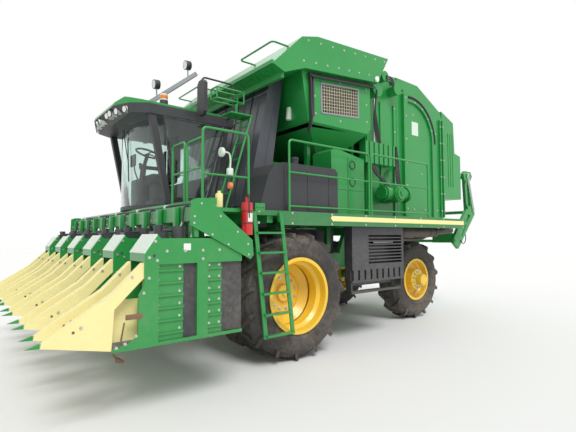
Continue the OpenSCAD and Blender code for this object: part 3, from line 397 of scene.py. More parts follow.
FINISHES: dict[Paint, Finish] = {
    Paint.GREEN: Finish(
        "green_paint", (0.014, 0.275, 0.052), 0.32, coat=0.25, dust=0.16,
        worn=(0.11, 0.06, 0.03), wear=0.35,
    ),
    Paint.YELLOW: Finish(
        "yellow_paint", (0.90, 0.58, 0.03), 0.33, coat=0.3, dust=0.20,
        worn=(0.20, 0.10, 0.04), wear=0.3,
    ),
    Paint.LIFTER: Finish(
        "lifter_plastic", (0.90, 0.80, 0.36), 0.42, dust=0.14,
        worn=(0.45, 0.36, 0.16), wear=0.35, grain=60.0,
    ),
    Paint.TYRE: Finish(
        "tyre_rubber", (0.030, 0.029, 0.028), 0.72, dust=0.75,
        dust_colour=(0.16, 0.135, 0.115), dust_high=3.6, grain=55.0, grain_depth=0.002,
    ),
    Paint.SHEET: Finish(
        "rubber_sheet", (0.035, 0.037, 0.042), 0.55, dust=0.30, grain=70.0, grain_depth=0.0012
    ),
    Paint.PLASTIC: Finish(
        "dark_plastic", (0.030, 0.032, 0.037), 0.48, dust=0.18, grain=160.0, grain_depth=0.0008
    ),
    Paint.SATIN: Finish("dark_paint", (0.036, 0.039, 0.046), 0.38, coat=0.15, dust=0.22),
    Paint.EXHAUST: Finish(
        "exhaust_steel", (0.10, 0.085, 0.075), 0.55, metallic=0.7, dust=0.3,
        worn=(0.22, 0.09, 0.04), wear=0.9,
    ),
    Paint.GLASS: Finish(
        "cab_glass", (0.72, 0.84, 0.80), 0.03, dust=0.03, transmission=1.0, grain_depth=0.00001
    ),
    Paint.LENS: Finish("lamp_lens", (0.80, 0.82, 0.80), 0.12, coat=0.6, dust=0.04, grain=300.0),
    Paint.RED: Finish("red_paint", (0.62, 0.015, 0.02), 0.28, coat=0.5, dust=0.06),
    Paint.STEEL: Finish(
        "bright_steel", (0.45, 0.45, 0.44), 0.30, metallic=1.0, dust=0.12,
        worn=(0.16, 0.10, 0.07), wear=0.3,
    ),
    Paint.PALE: Finish(
        "pale_paint", (0.66, 0.76, 0.66), 0.35, dust=0.18, worn=(0.05, 0.24, 0.08), wear=0.6
    ),
    Paint.ZINC: Finish("zinc_bolts", (0.60, 0.60, 0.57), 0.34, metallic=0.75, dust=0.10),
    Paint.HOSE: Finish(
        "hose_rubber", (0.022, 0.023, 0.026), 0.42, dust=0.18, grain=260.0, grain_depth=0.0008
    ),
    Paint.LABEL: Finish("blank_label", (0.80, 0.81, 0.77), 0.38, dust=0.16),
    Paint.RUST: Finish(
        "rusty_steel", (0.20, 0.105, 0.055), 0.68, metallic=0.3, mottle=0.6, dust=0.3,
        grain=90.0, grain_depth=0.0015,
    ),
    Paint.GREY: Finish(
        "grey_paint", (0.30, 0.31, 0.33), 0.36, coat=0.2, dust=0.22,
        worn=(0.20, 0.20, 0.19), wear=0.3,
    ),
    Paint.STRIPE: Finish("stripe_film", (0.90, 0.80, 0.33), 0.32, coat=0.25, dust=0.14),
    Paint.AMBER: Finish("amber_lens", (0.85, 0.20, 0.02), 0.18, coat=0.6, dust=0.05),
    Paint.SEAT: Finish(
        "seat_cloth", (0.055, 0.060, 0.075), 0.85, mottle=0.3, dust=0.12,
        grain=420.0, grain_depth=0.002,
    ),
    Paint.CHROME: Finish("polished_steel", (0.72, 0.72, 0.72), 0.14, metallic=1.0, dust=0.05),
    Paint.DUCT: Finish("duct_plastic", (0.060, 0.066, 0.080), 0.36, coat=0.2, mottle=0.3),
    Paint.WIRE: Finish("dusty_wire", (0.50, 0.45, 0.38), 0.6, mottle=0.4, dust=0.4),
    Paint.TREAD: Finish(
        "tread_plate", (0.030, 0.20, 0.060), 0.5, dust=0.35, grain=48.0, grain_depth=0.006
    ),
}

# CAD nodes that take another finish than the record's slot names
OVERRIDES: dict[str, Paint] = {
    "air_ducts": Paint.DUCT,
    "chamber_drive": Paint.GREEN,
    "lamp_mast": Paint.GREY,
    "platforms": Paint.TREAD,
}


class Finishes:
    """The machine's materials, each built when it is first asked for."""

    def __init__(self) -> None:
        """Starts with no material built."""
        self.built: dict[Paint, bpy.types.Material] = {}

    def get(self, paint: Paint) -> bpy.types.Material:
        """Gives the material of a finish, and builds it the first time.

        Args:
            paint: The finish.

        Returns:
            The material.
        """
        if paint not in self.built:
            self.built[paint] = FINISHES[paint].build()
        return self.built[paint]


MATERIALS = Finishes()


def dress_frame() -> None:
    """Gives every CAD node its finish, by the record's slot or the overrides."""
    slots = {part["node"]: part["material_slot"] for part in frame["record"]["subparts"]}
    for name, node in frame["nodes"].items():
        material = MATERIALS.get(OVERRIDES.get(name, Paint(slots[name])))
        node.data.materials.clear()
        node.data.materials.append(material)
    log.info("dressed %d CAD nodes", len(frame["nodes"]))


# Making pieces


def at(x: float, y: float, z: float) -> Vector:
    """Turns a place measured from the front axle into the part's frame."""
    return Vector((x + AXLE, y, z))


def flip(place: Point, side: int) -> Point:
    """Gives a place on the left for side 1, and its image on the right for side -1."""
    x, y, z = place
    return x, side * y, z


def row(start: Point, end: Point, count: int) -> list[Point]:
    """Gives evenly spaced places from one point to another, both included.

    Args:
        start: The first place.
        end: The last place.
        count: How many places there are, two or more.

    Returns:
        The places.
    """
    first, last = Vector(start), Vector(end)
    return [tuple(first.lerp(last, i / (count - 1))) for i in range(count)]


def arc(centre: Point, radius: float, turns: Iterable[float]) -> list[Point]:
    """Gives places on an upright circle that faces sideways.

    Args:
        centre: The circle's middle.
        radius: Its radius.
        turns: The angle of each place in degrees, from forward to upward.

    Returns:
        The places.
    """
    x, y, z = centre
    angles = [math.radians(turn) for turn in turns]
    return [(x + radius * math.cos(a), y, z + radius * math.sin(a)) for a in angles]


class Shop:
    """Models pieces with Blender's own tools and hands them to the bodies that carry them."""

    # Steps of a tube between two places, and across a quarter of its section
    TUBE_STEPS, TUBE_QUARTER = 6, 2
    # A washer's radius, how far it stands out, and how far the head does, by the head's radius
    WASHER, WASHER_OUT, HEAD_OUT = 1.45, 0.25, 0.95

    def begin(self) -> None:
        """Leaves edit mode and deselects everything."""
        if bpy.context.object and bpy.context.object.mode != "OBJECT":
            bpy.ops.object.mode_set(mode="OBJECT")
        bpy.ops.object.select_all(action="DESELECT")

    def soften(self, piece: Piece, width: float, segments: int = 2) -> None:
        """Rounds a piece's edges.

        Args:
            piece: The piece.
            width: The bevel's width.
            segments: How many faces the bevel has across.
        """
        if width > 0:
            bevel = piece.modifiers.new("rounding", "BEVEL")
            bevel.width = width
            bevel.segments = segments
            bevel.limit_method = "ANGLE"
            bpy.ops.object.modifier_apply(modifier=bevel.name)

    def box(self, low: Point, high: Point, bevel: float = 0.0, segments: int = 2) -> Piece:
        """Makes a block between two corners.

        Args:
            low: One corner.
            high: The opposite corner.
            bevel: The width of its rounded edges.
            segments: How many faces each rounding has.

        Returns:
            The block.
        """
        self.begin()
        a, b = at(*low), at(*high)
        bpy.ops.mesh.primitive_cube_add(size=1, location=(a + b) / 2)
        piece = bpy.context.object
        piece.scale = [abs(v) for v in b - a]
        bpy.ops.object.transform_apply(location=False, rotation=False, scale=True)
        self.soften(piece, bevel, segments)
        return piece

    def rod(
        self, start: Point, end: Point, radius: float,
        sides: int = 16, bevel: float = 0.0, tip: Optional[float] = None,
    ) -> Piece:
        """Makes a round rod, or a cone, between two places.

        Args:
            start: The middle of its first end.
            end: The middle of its other end.
            radius: Its radius.
            sides: How many sides it has.
            bevel: The width of its rounded rims.
            tip: The radius of its other end, where that differs.

        Returns:
            The rod.
        """
        self.begin()
        a, b = at(*start), at(*end)
        turn = (b - a).to_track_quat("Z", "Y").to_euler()
        place = {"depth": (b - a).length, "location": (a + b) / 2, "rotation": turn}
        if tip is None:
            bpy.ops.mesh.primitive_cylinder_add(vertices=sides, radius=radius, **place)
        else:
            bpy.ops.mesh.primitive_cone_add(vertices=sides, radius1=radius, radius2=tip, **place)
        piece = bpy.context.object
        self.soften(piece, bevel)
        return piece

    def ring(
        self, centre: Point, axis: Point, major: float, minor: float, sides: int, around: int
    ) -> Piece:
        """Makes a torus.

        Args:
            centre: Its middle.
            axis: The direction of its axis.
            major: Its radius.
            minor: The radius of its section.
            sides: How many sections it has.
            around: How many sides its section has.

        Returns:
            The torus.
        """
        self.begin()
        turn = Vector(axis).to_track_quat("Z", "Y").to_euler()
        bpy.ops.mesh.primitive_torus_add(
            location=at(*centre), rotation=turn, major_radius=major, minor_radius=minor,
            major_segments=sides, minor_segments=around,
        )
        return bpy.context.object

    def tube(self, places: Sequence[Point], radius: float, smooth: bool = True) -> Piece:
        """Makes a round tube along a list of places.

        Args:
            places: The places, from one end to the other.
            radius: The tube's radius.
            smooth: Whether it curves through the places or turns sharply at them.

        Returns:
            The tube as a mesh.
        """
        self.begin()
        bpy.ops.curve.primitive_nurbs_path_add()
        curve = bpy.context.object.data
        curve.splines.clear()
        spline = curve.splines.new("BEZIER" if smooth else "POLY")
        points = spline.bezier_points if smooth else spline.points
        points.add(len(places) - 1)
        for point, place in zip(points, places):
            if smooth:
                point.co = at(*place)
                point.handle_left_type = point.handle_right_type = "AUTO"
            else:
                point.co = (*at(*place), 1.0)
        curve.resolution_u = self.TUBE_STEPS
        curve.bevel_depth = radius
        curve.bevel_resolution = self.TUBE_QUARTER
        curve.use_fill_caps = True
        bpy.ops.object.convert(target="MESH")
        return bpy.context.object

    def boxes(self, low: Point, high: Point, *sizes: float) -> list[Piece]:
        """Makes a block on the left and its image on the right."""
        return [self.box(flip(low, side), flip(high, side), *sizes) for side in SIDES]

    def rods(self, start: Point, end: Point, *sizes: float) -> list[Piece]:
        """Makes a rod on the left and its image on the right."""
        return [self.rod(flip(start, side), flip(end, side), *sizes) for side in SIDES]

    def tubes(self, places: Sequence[Point], radius: float) -> list[Piece]:
        """Makes a tube on the left and its image on the right."""
        return [self.tube([flip(place, side) for place in places], radius) for side in SIDES]

    def repeat(self, piece: Piece, shifts: Iterable[Point]) -> list[Piece]:
        """Copies a piece to further places.

        Args:
            piece: The piece that is copied.
            shifts: How far each copy lies from it.

        Returns:
            The piece and its copies.
        """
        made = [piece]
        for shift in shifts:
            copy = piece.copy()
            copy.data = piece.data.copy()
            copy.location = piece.location + Vector(shift)
            bpy.context.collection.objects.link(copy)
            made.append(copy)
        return made

    def spread(self, piece: Piece, places: Sequence[Point]) -> list[Piece]:
        """Copies a piece that was made at the first of some places to the others."""
        first = Vector(places[0])
        return self.repeat(piece, [tuple(Vector(place) - first) for place in places[1:]])

    def bolts(self, places: Sequence[Point], axis: Point, radius: float) -> list[Piece]:
        """Makes hexagonal bolt heads on washers.

        Args:
            places: Where the heads sit.
            axis: The direction in which they point.
            radius: The radius of a head.

        Returns:
            The heads.
        """
        step = Vector(axis).normalized() * radius
        first = Vector(places[0])
        back, rim = tuple(first - step), tuple(first + step * self.WASHER_OUT)
        washer = self.rod(back, rim, radius * self.WASHER, 14)
        head = self.rod(tuple(first), tuple(first + step * self.HEAD_OUT), radius, 6)
        return self.spread(self.merge([washer, head]), places)

    def side_bolts(self, places: Sequence[Point], radius: float) -> list[Piece]:
        """Makes bolt heads that point out of the left side, and their images on the right.

        Args:
            places: Where the heads on the left sit.
            radius: The radius of a head.

        Returns:
            The heads of both sides.
        """
        made = []
        for side in SIDES:
            made += self.bolts([flip(place, side) for place in places], (0, side, 0), radius)
        return made

    def merge(self, pieces: Sequence[Piece]) -> Piece:
        """Joins objects into the first of them.

        Args:
            pieces: The objects.

        Returns:
            The joined object.
        """
        self.begin()
        for piece in pieces:
            piece.select_set(True)
        bpy.context.view_layer.objects.active = pieces[0]
        if len(pieces) > 1:
            bpy.ops.object.join()
        return bpy.context.object

    def finish(
        self, pieces: Sequence[Piece], name: str, paint: Paint,
        body: str = "chassis", replaces: Sequence[str] = (),
    ) -> Piece:
        """Joins pieces, gives them a finish and fixes them to a body.

        Args:
            pieces: The objects to join.
            name: The finished piece's name.
            paint: Its finish.
            body: The body that carries it.
            replaces: The CAD nodes whose place it takes.

        Returns:
            The finished piece.
        """
        piece = self.merge(pieces)
        bpy.ops.object.transform_apply(location=True, rotation=True, scale=True)
        bpy.ops.object.shade_smooth_by_angle(angle=math.radians(SMOOTH_TURN))
        piece.name = name
        piece.data.name = name
        piece.data.materials.clear()
        piece.data.materials.append(MATERIALS.get(paint))
        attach(piece, body)
        if replaces:
            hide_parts(*replaces)
        log.info("%s: %d faces", name, len(piece.data.polygons))
        return piece


SHOP = Shop()


@dataclass
class WheelHardware:
    """Nuts, hub caps and valves of the four wheels."""

    front_height: float = 0.94
    rear_height: float = 0.85
    rear_axle: float = -4.09
    front_face: float = 1.712
    rear_face: float = 1.372
    nuts: int = 12
    nut_radius: float = 0.021
    front_circle: float = 0.245
    rear_circle: float = 0.172

    def nut_ring(self, centre: Point, radius: float, out: int) -> list[Piece]:
        """Makes a circle of wheel nuts on their studs.

        Args:
            centre: The circle's middle, on the face that the nuts sit on.
            radius: The radius of the circle.
            out: The side that they point to.

        Returns:
            The nuts.
        """
        spots = arc(centre, radius, [360 * (i + 0.5) / self.nuts for i in range(self.nuts)])
        x, y, z = spots[0]
        studs = SHOP.spread(SHOP.rod((x, y, z), (x, y + out * 0.042, z), 0.009, 10), spots)
        return SHOP.bolts(spots, (0, out, 0), self.nut_radius) + studs

    def make_front(self, side: str, out: int) -> None:
        """Makes the hardware of one pair of front wheels.

        Args:
            side: The side's name, left or right.
            out: The sign of y there.
        """
        wheel, y, z = f"front_wheel_{side}", out * self.front_face, self.front_height
        cap = SHOP.rod((0, out * 1.58, z), (0, out * 1.765, z), 0.130, 40, 0.018)
        boss = SHOP.rod((0, out * 1.76, z), (0, out * 1.785, z), 0.055, 6, 0.004)
        ring = SHOP.ring((0, y, z), LEFT, 0.138, 0.012, 40, 8)
        SHOP.finish([cap, boss, ring], f"front_hub_cap_{side}", Paint.YELLOW, wheel)
        nuts = self.nut_ring((0, y, z), self.front_circle, out)
        SHOP.finish(nuts, f"front_nuts_{side}", Paint.ZINC, wheel)
        stem = [(0.40, out * 1.80, 1.10), (0.42, out * 1.84, 1.11), (0.43, out * 1.90, 1.115)]
        SHOP.finish([SHOP.tube(stem, 0.008)], f"front_valve_{side}", Paint.HOSE, wheel)

    def make_rear(self, side: str, out: int) -> None:
        """Makes the hardware of one rear wheel.

        Args:
            side: The side's name, left or right.
            out: The sign of y there.
        """
        wheel, x, z = f"rear_wheel_{side}", self.rear_axle, self.rear_height
        cap = SHOP.rod((x, out * 1.37, z), (x, out * 1.53, z), 0.125, 40, 0.014)
        plugs = [
            SHOP.rod((x + a, out * 1.528, z + b), (x + a, out * 1.538, z + b), 0.014, 6)
            for a, b in ((0.07, 0.07), (0.07, -0.07), (-0.07, 0.07), (-0.07, -0.07))
        ]
        SHOP.finish([cap, *plugs], f"rear_hub_cap_{side}", Paint.YELLOW, wheel)
        nuts = self.nut_ring((x, out * self.rear_face, z), self.rear_circle, out)
        SHOP.finish(nuts, f"rear_nuts_{side}", Paint.ZINC, wheel)

    def build(self) -> None:
        """Makes the hardware of each wheel."""
        for side, out in (("left", 1), ("right", -1)):
            self.make_front(side, out)
            self.make_rear(side, out)


@dataclass
class PickingHead:
    """Fasteners, hoses, posts, drums and labels of the six picking units."""

    units: int = 6
    pitch: float = 1.0
    half: float = 0.28
    shield_face: float = 2.794
    drum_steps: int = 13

    @property
    def rows(self) -> list[float]:
        """The middle of each unit, from right to left."""
        return [i * self.pitch - (self.units - 1) / 2 * self.pitch for i in range(self.units)]

    def make_bolts(self) -> None:
        """Puts bolts on the units' outer plates, the end shields and the toolbar."""
        plate = [(2.50, 1.60), (2.50, 1.40), (2.44, 1.76), (2.62, 0.86), (2.72, 0.80)]
        plate += [(2.80, 0.775), (2.55, 1.26)]
        plate += [(x, 1.66) for x in (1.50, 1.72, 1.92, 2.12, 2.32)]
        plate += [(x, 1.57) for x in (1.92, 2.42)]
        spots = [(x, y + self.half, z) for y in self.rows for x, z in plate]
        heads = SHOP.bolts(spots, LEFT, 0.011)
        rivets = [(x, 0.875 + 0.125 * i) for x in (2.17, 2.40, 1.71, 1.83) for i in range(6)]
        spots = [(x, y + self.half - 0.030, z) for y in self.rows for x, z in rivets]
        SHOP.finish(heads + SHOP.bolts(spots, LEFT, 0.010), "unit_bolts", Paint.ZINC, "head")
        shield = [(1.95, 2.16), (2.03, 2.02), (2.035, 1.95), (1.72, 2.03), (1.50, 1.86)]
        shield += [(1.36, 1.72), (1.35, 1.60), (1.62, 1.72), (1.82, 1.83)]
        heads = SHOP.side_bolts([(x, self.shield_face, z) for x, z in shield], 0.013)
        SHOP.finish(heads, "shield_bolts", Paint.ZINC, "head")
        spots = [(1.79, y + dy, 2.005) for y in self.rows for dy in (-0.09, 0.09)]
        for y in self.rows:
            spots += [(1.961, y + dy, z) for dy in (-0.10, 0.10) for z in (2.02, 2.12)]
        SHOP.finish(SHOP.bolts(spots, (1, 0, 0), 0.014), "bar_bolts", Paint.ZINC, "head")

    def make_hoses(self) -> None:
        """Lays the hoses along the toolbar and down to each unit, with their rods and posts."""
        pieces = []
        bundle = ((1.83, 2.175, 0.013), (1.87, 2.172, 0.011), (1.905, 2.176, 0.014))
        for k, (x, z, radius) in enumerate(bundle):
            spots = [(x, 0.5 * (i - 5), z + 0.012 * ((i + k) % 2)) for i in range(11)]
            pieces.append(SHOP.tube(spots, radius))
        drop = ((1.93, -0.02, 2.15), (2.00, 0, 2.14), (2.03, 0.02, 2.03), (2.04, 0.05, 1.93))
        for y in self.rows:
            pieces.append(SHOP.tube([(x, y + dy, z) for x, dy, z in drop], 0.012))
        SHOP.finish(pieces, "head_hoses", Paint.HOSE, "head")
        rods = []
        for y in self.rows:
            rods.append(SHOP.box((1.80, y + 0.22, 2.16), (1.93, y + 0.26, 2.205), 0.006))
            for dy in (-0.17, 0.20):
                rods.append(SHOP.rod((2.02, y + dy, 1.80), (1.90, y + dy, 2.10), 0.012, 12))
        rods.append(SHOP.box((1.765, -2.70, 2.1605), (1.81, 2.70, 2.166), 0.002))
        SHOP.finish(rods, "head_rods", Paint.PALE, "head")
        posts = [
            SHOP.box((1.97, y + dy, 1.80), (2.02, y + dy + 0.07, 2.15), 0.006)
            for y in self.rows for dy in (-0.28, 0.21)
        ]
        SHOP.finish(posts, "hanger_posts", Paint.GREEN, "head")

    def make_drums(self) -> None:
        """Makes the upright picking drums with their rows of spindles."""
        pieces = []
        y = self.rows[0]
        shifts = [
            (dx, 0, step * 0.05)
            for dx in (-0.06, 0.0, 0.06) for step in range(self.drum_steps) if dx or step
        ]
        for x in (1.66, 2.16):
            pieces.append(SHOP.rod((x, y - 0.12, 0.80), (x, y - 0.12, 1.50), 0.05))
            spindle = SHOP.rod((x, y - 0.07, 0.86), (x, y - 0.005, 0.86), 0.007, 6)
            pieces += SHOP.repeat(spindle, shifts)
        units = [(0, i * self.pitch, 0) for i in range(1, self.units)]
        drums = SHOP.repeat(SHOP.merge(pieces), units)
        SHOP.finish(drums, "picking_drums", Paint.STEEL, "head")

    def make_labels(self) -> None:
        """Puts blank plates where the machine has its stickers, and painted shade in the plates'
        holes.
        """
        face, film = self.shield_face, 0.0015
        faces = [y + self.half for y in self.rows]
        whites = [SHOP.box((2.06, y, 1.665), (2.14, y + film, 1.735)) for y in faces]
        whites.append(SHOP.box((1.60, face, 1.94), (1.74, face + film, 2.00)))
        SHOP.finish(whites, "head_labels", Paint.LABEL, "head")
        # Dark discs of painted shade in the hole of each unit's plate
        x, z = 2.45, 1.617
        hole_shades = [SHOP.rod((x, y - 0.002, z), (x, y + 0.001, z), 0.016, 20) for y in faces]
        SHOP.finish(hole_shades, "unit_hole_painted_shade", Paint.SHEET, "head")

    def build(self) -> None:
        """Makes the head's pieces."""
        self.make_bolts()
        self.make_hoses()
        self.make_drums()
        self.make_labels()


@dataclass
class Lifters:
    """Bolts, latches and inner panels of the stalk lifters, and the head's folded stand."""

    outer: float = 0.215
    inner: float = -0.165

    def build(self) -> None:
        """Makes the small pieces on each lifter."""
        rows = PickingHead().rows
        heads: list[Point] = []
        dark: list[Piece] = []
        panels: list[Piece] = []
        for middle in rows:
            for y in (middle + self.outer, middle + self.inner):
                heads += [(3.10, y + 0.046, 1.00), (2.66, y + 0.055, 1.42)]
                dark.append(SHOP.rod((3.16, y + 0.030, 0.965), (3.16, y + 0.0425, 0.965), 0.012))
            y = middle + self.outer
            panels.append(SHOP.box((2.56, y - 0.075, 0.80), (2.80, y - 0.066, 1.20), 0.003))
            dark.append(SHOP.rod((2.73, y + 0.064, 1.00), (2.765, y + 0.064, 0.80), 0.008, 10))
            dark.append(SHOP.box((2.56, y + 0.055, 1.02), (2.72, y + 0.072, 1.07), 0.005))
        SHOP.finish(SHOP.bolts(heads, LEFT, 0.010), "lifter_bolts", Paint.ZINC, "head")
        SHOP.finish(dark, "lifter_latches", Paint.RUST, "head")
        SHOP.finish(panels, "lifter_panels", Paint.LIFTER, "head")
        y = rows[-1] + self.outer - 0.06
        leg = SHOP.tube([(2.82, y, 0.78), (2.80, y + 0.03, 0.70), (2.74, y + 0.06, 0.62)], 0.010)
        foot = SHOP.rod((2.77, y + 0.05, 0.65), (2.70, y + 0.02, 0.61), 0.028, 4, tip=0.012)
        SHOP.finish([leg, foot], "stand_foot", Paint.RUST, "head")


@dataclass
class Cab:
    """Seat, controls, door trim, wiper, lamps and mirror glasses of the cab."""

    floor: float = 2.30
    side: float = 0.95

    def make_seat(self) -> None:
        """Makes the seat, and the controls that take the place of the CAD's plain blocks."""
        z = self.floor
        cushion = SHOP.box((1.07, -0.25, z + 0.40), (1.53, 0.25, z + 0.54), 0.05, 4)
        back = SHOP.box((1.02, -0.25, z + 0.50), (1.15, 0.25, z + 1.02), 0.05, 4)
        rest = SHOP.box((1.02, -0.15, z + 1.04), (1.12, 0.15, z + 1.24), 0.04, 4)
        arms = [
            SHOP.box((1.10, y - 0.04, z + 0.68), (1.42, y + 0.04, z + 0.74), 0.02, 3)
            for y in (-0.29, 0.29)
        ]
        seat = SHOP.finish([cushion, back, rest, *arms], "seat_cushions", Paint.SEAT)
        bend = [(1.50, -0.45, z + 0.50), (1.57, -0.42, z + 0.66), (1.60, -0.38, z + 0.80)]
        hub, rim = (1.50, 0, z + 0.895), z + 0.90
        base = SHOP.box((1.12, -0.18, z), (1.46, 0.18, z + 0.12), 0.01)
        bellows = SHOP.box((1.16, -0.16, z + 0.12), (1.42, 0.16, z + 0.40), 0.03)
        console = SHOP.box((1.00, -0.70, z), (1.55, -0.35, z + 0.52), 0.04, 3)
        screen = SHOP.box((1.60, -0.50, z + 0.72), (1.63, -0.26, z + 0.92), 0.01)
        stem = SHOP.tube(bend, 0.012)
        column = SHOP.rod((1.65, 0, z), (1.56, 0, z + 0.70), 0.045, 20, 0.006)
        neck = SHOP.rod((1.56, 0, z + 0.68), (1.505, 0, z + 0.885), 0.030, 20)
        wheel = SHOP.ring((1.50, 0, rim), (-0.06, 0, 0.20), 0.19, 0.016, 40, 10)
        ends = ((1.50, 0.185, rim), (1.50, -0.185, rim), (1.325, 0, z + 0.848))
        spokes = [SHOP.rod(hub, end, 0.011, 10) for end in ends]
        lever = SHOP.rod((1.45, -0.42, z + 0.50), (1.47, -0.42, z + 0.72), 0.012, 12, 0.002)
        knob = SHOP.rod((1.468, -0.42, z + 0.70), (1.478, -0.42, z + 0.80), 0.026, 16, 0.01)
        parts = [base, bellows, console, screen, stem, column, neck, wheel, *spokes, lever, knob]
        SHOP.finish(parts, "cab_controls", Paint.PLASTIC, "chassis", ["cab_interior"])

    def make_door_trim(self) -> None:
        """Puts the seal, the handle and the latch on the glass door."""
        y = self.side + 0.0135
        corners = ((1.45, 2.395), (1.622, 3.575), (0.645, 3.575), (0.635, 3.53), (0.985, 2.395))
        outline = [(x, y, z) for x, z in corners + corners[:1]]
        grip = ((1.50, 0.010, 3.02), (1.505, 0.045, 3.04), (1.53, 0.045, 3.20), (1.54, 0.010, 3.22))
        seal = SHOP.tube(outline, 0.016, smooth=False)
        handle = SHOP.tube([(x, y + out, z) for x, out, z in grip], 0.010)
        latch = SHOP.box((1.44, y - 0.002, 2.86), (1.50, y + 0.020, 2.96), 0.006)
        SHOP.finish([seal, handle, latch], "door_trim", Paint.PLASTIC, "door")

    def make_outside(self) -> None:
        """Makes the wiper, the lamp bezels, the beacon's dome and the roof's seams."""
        wipe = [
            SHOP.rod((1.885, 0.0, 3.50), (1.905, 0.0, 3.50), 0.03, 20, 0.004),
            SHOP.tube([(1.895, 0.0, 3.50), (1.893, 0.10, 3.24), (1.882, 0.18, 3.02)], 0.007),
            SHOP.tube([(1.874, 0.14, 3.36), (1.876, 0.17, 3.04), (1.872, 0.205, 2.68)], 0.009),
        ]
        SHOP.finish(wipe, "wiper", Paint.PLASTIC)
        dome = SHOP.rod((1.50, 0.65, 3.925), (1.50, 0.65, 4.022), 0.0605, 32, 0.02)
        SHOP.finish([dome], "beacon_dome", Paint.AMBER)
        base = SHOP.rod((1.50, 0.65, 3.84), (1.50, 0.65, 3.927), 0.0625, 32, 0.004)
        SHOP.finish([base], "beacon_base", Paint.PLASTIC)
        bezels = []
        for y, x in ((0.18, 2.10), (0.33, 2.10), (0.51, 2.06), (0.70, 2.00)):
            for s in SIDES:
                lean = Vector((0.20, 0.06 * s, -0.04)).normalized()
                spot = Vector((x, y * s, 3.678)) + lean * 0.133
                bezels.append(SHOP.ring(tuple(spot), tuple(lean), 0.049, 0.006, 28, 8))
        SHOP.finish(bezels, "roof_lamp_bezels", Paint.PLASTIC)
        seams = SHOP.boxes((0.43, 0.9685, 3.700), (1.85, 0.9720, 3.712))
        for x in (0.60, 1.10, 1.60):
            seams += SHOP.boxes((x, 0.9685, 3.615), (x + 0.012, 0.9715, 3.735))
        SHOP.finish(seams, "roof_seams", Paint.SHEET)

    def make_mirrors(self) -> None:
        """Puts the glasses and their clamps on the mirrors."""
        glass = SHOP.boxes((1.0765, 1.10, 3.70), (1.0795, 1.24, 4.12), 0.001)
        SHOP.finish(glass, "mirror_glass", Paint.CHROME)
        clamps = SHOP.boxes((1.09, 1.135, 4.13), (1.135, 1.185, 4.19), 0.006)
        clamps += SHOP.rods((0.56, 1.16, 3.70), (0.56, 1.16, 3.76), 0.022, 16, 0.003)
        SHOP.finish(clamps, "mirror_clamps", Paint.PLASTIC)

    def make_mast(self) -> None:
        """Dresses the two work lamps and the end of the lamp mast."""
        foot, head = Vector((1.62, 0, 3.95)), Vector((0.78, 0.30, 4.64))
        aim = Vector((0.10, 0, -0.01)).normalized()
        along = (head - foot).normalized()
        lens, shells = [], []
        for share in (0.33, 0.9):
            back = foot.lerp(head, share) + Vector((0.03, 0, 0.19))
            rear, front, glass, rim, shine = (
                tuple(back + aim * reach) for reach in (-0.012, 0.075, 0.07, 0.078, 0.0815)
            )
            shells.append(SHOP.rod(rear, front, 0.077, 32, 0.008))
            shells.append(SHOP.ring(rim, tuple(aim), 0.073, 0.006, 32, 8))
            lens.append(SHOP.rod(glass, shine, 0.068, 32))
        end = tuple(head - along * 0.02), tuple(head + along * 0.001)
        shells.append(SHOP.rod(*end, 0.034, 20, 0.006))
        SHOP.finish(shells, "mast_lamp_shells", Paint.PLASTIC)
        SHOP.finish(lens, "mast_lamp_lenses", Paint.LENS)

    def build(self) -> None:
        """Makes the cab's pieces."""
        self.make_seat()
        self.make_door_trim()
        self.make_outside()
        self.make_mirrors()
        self.make_mast()


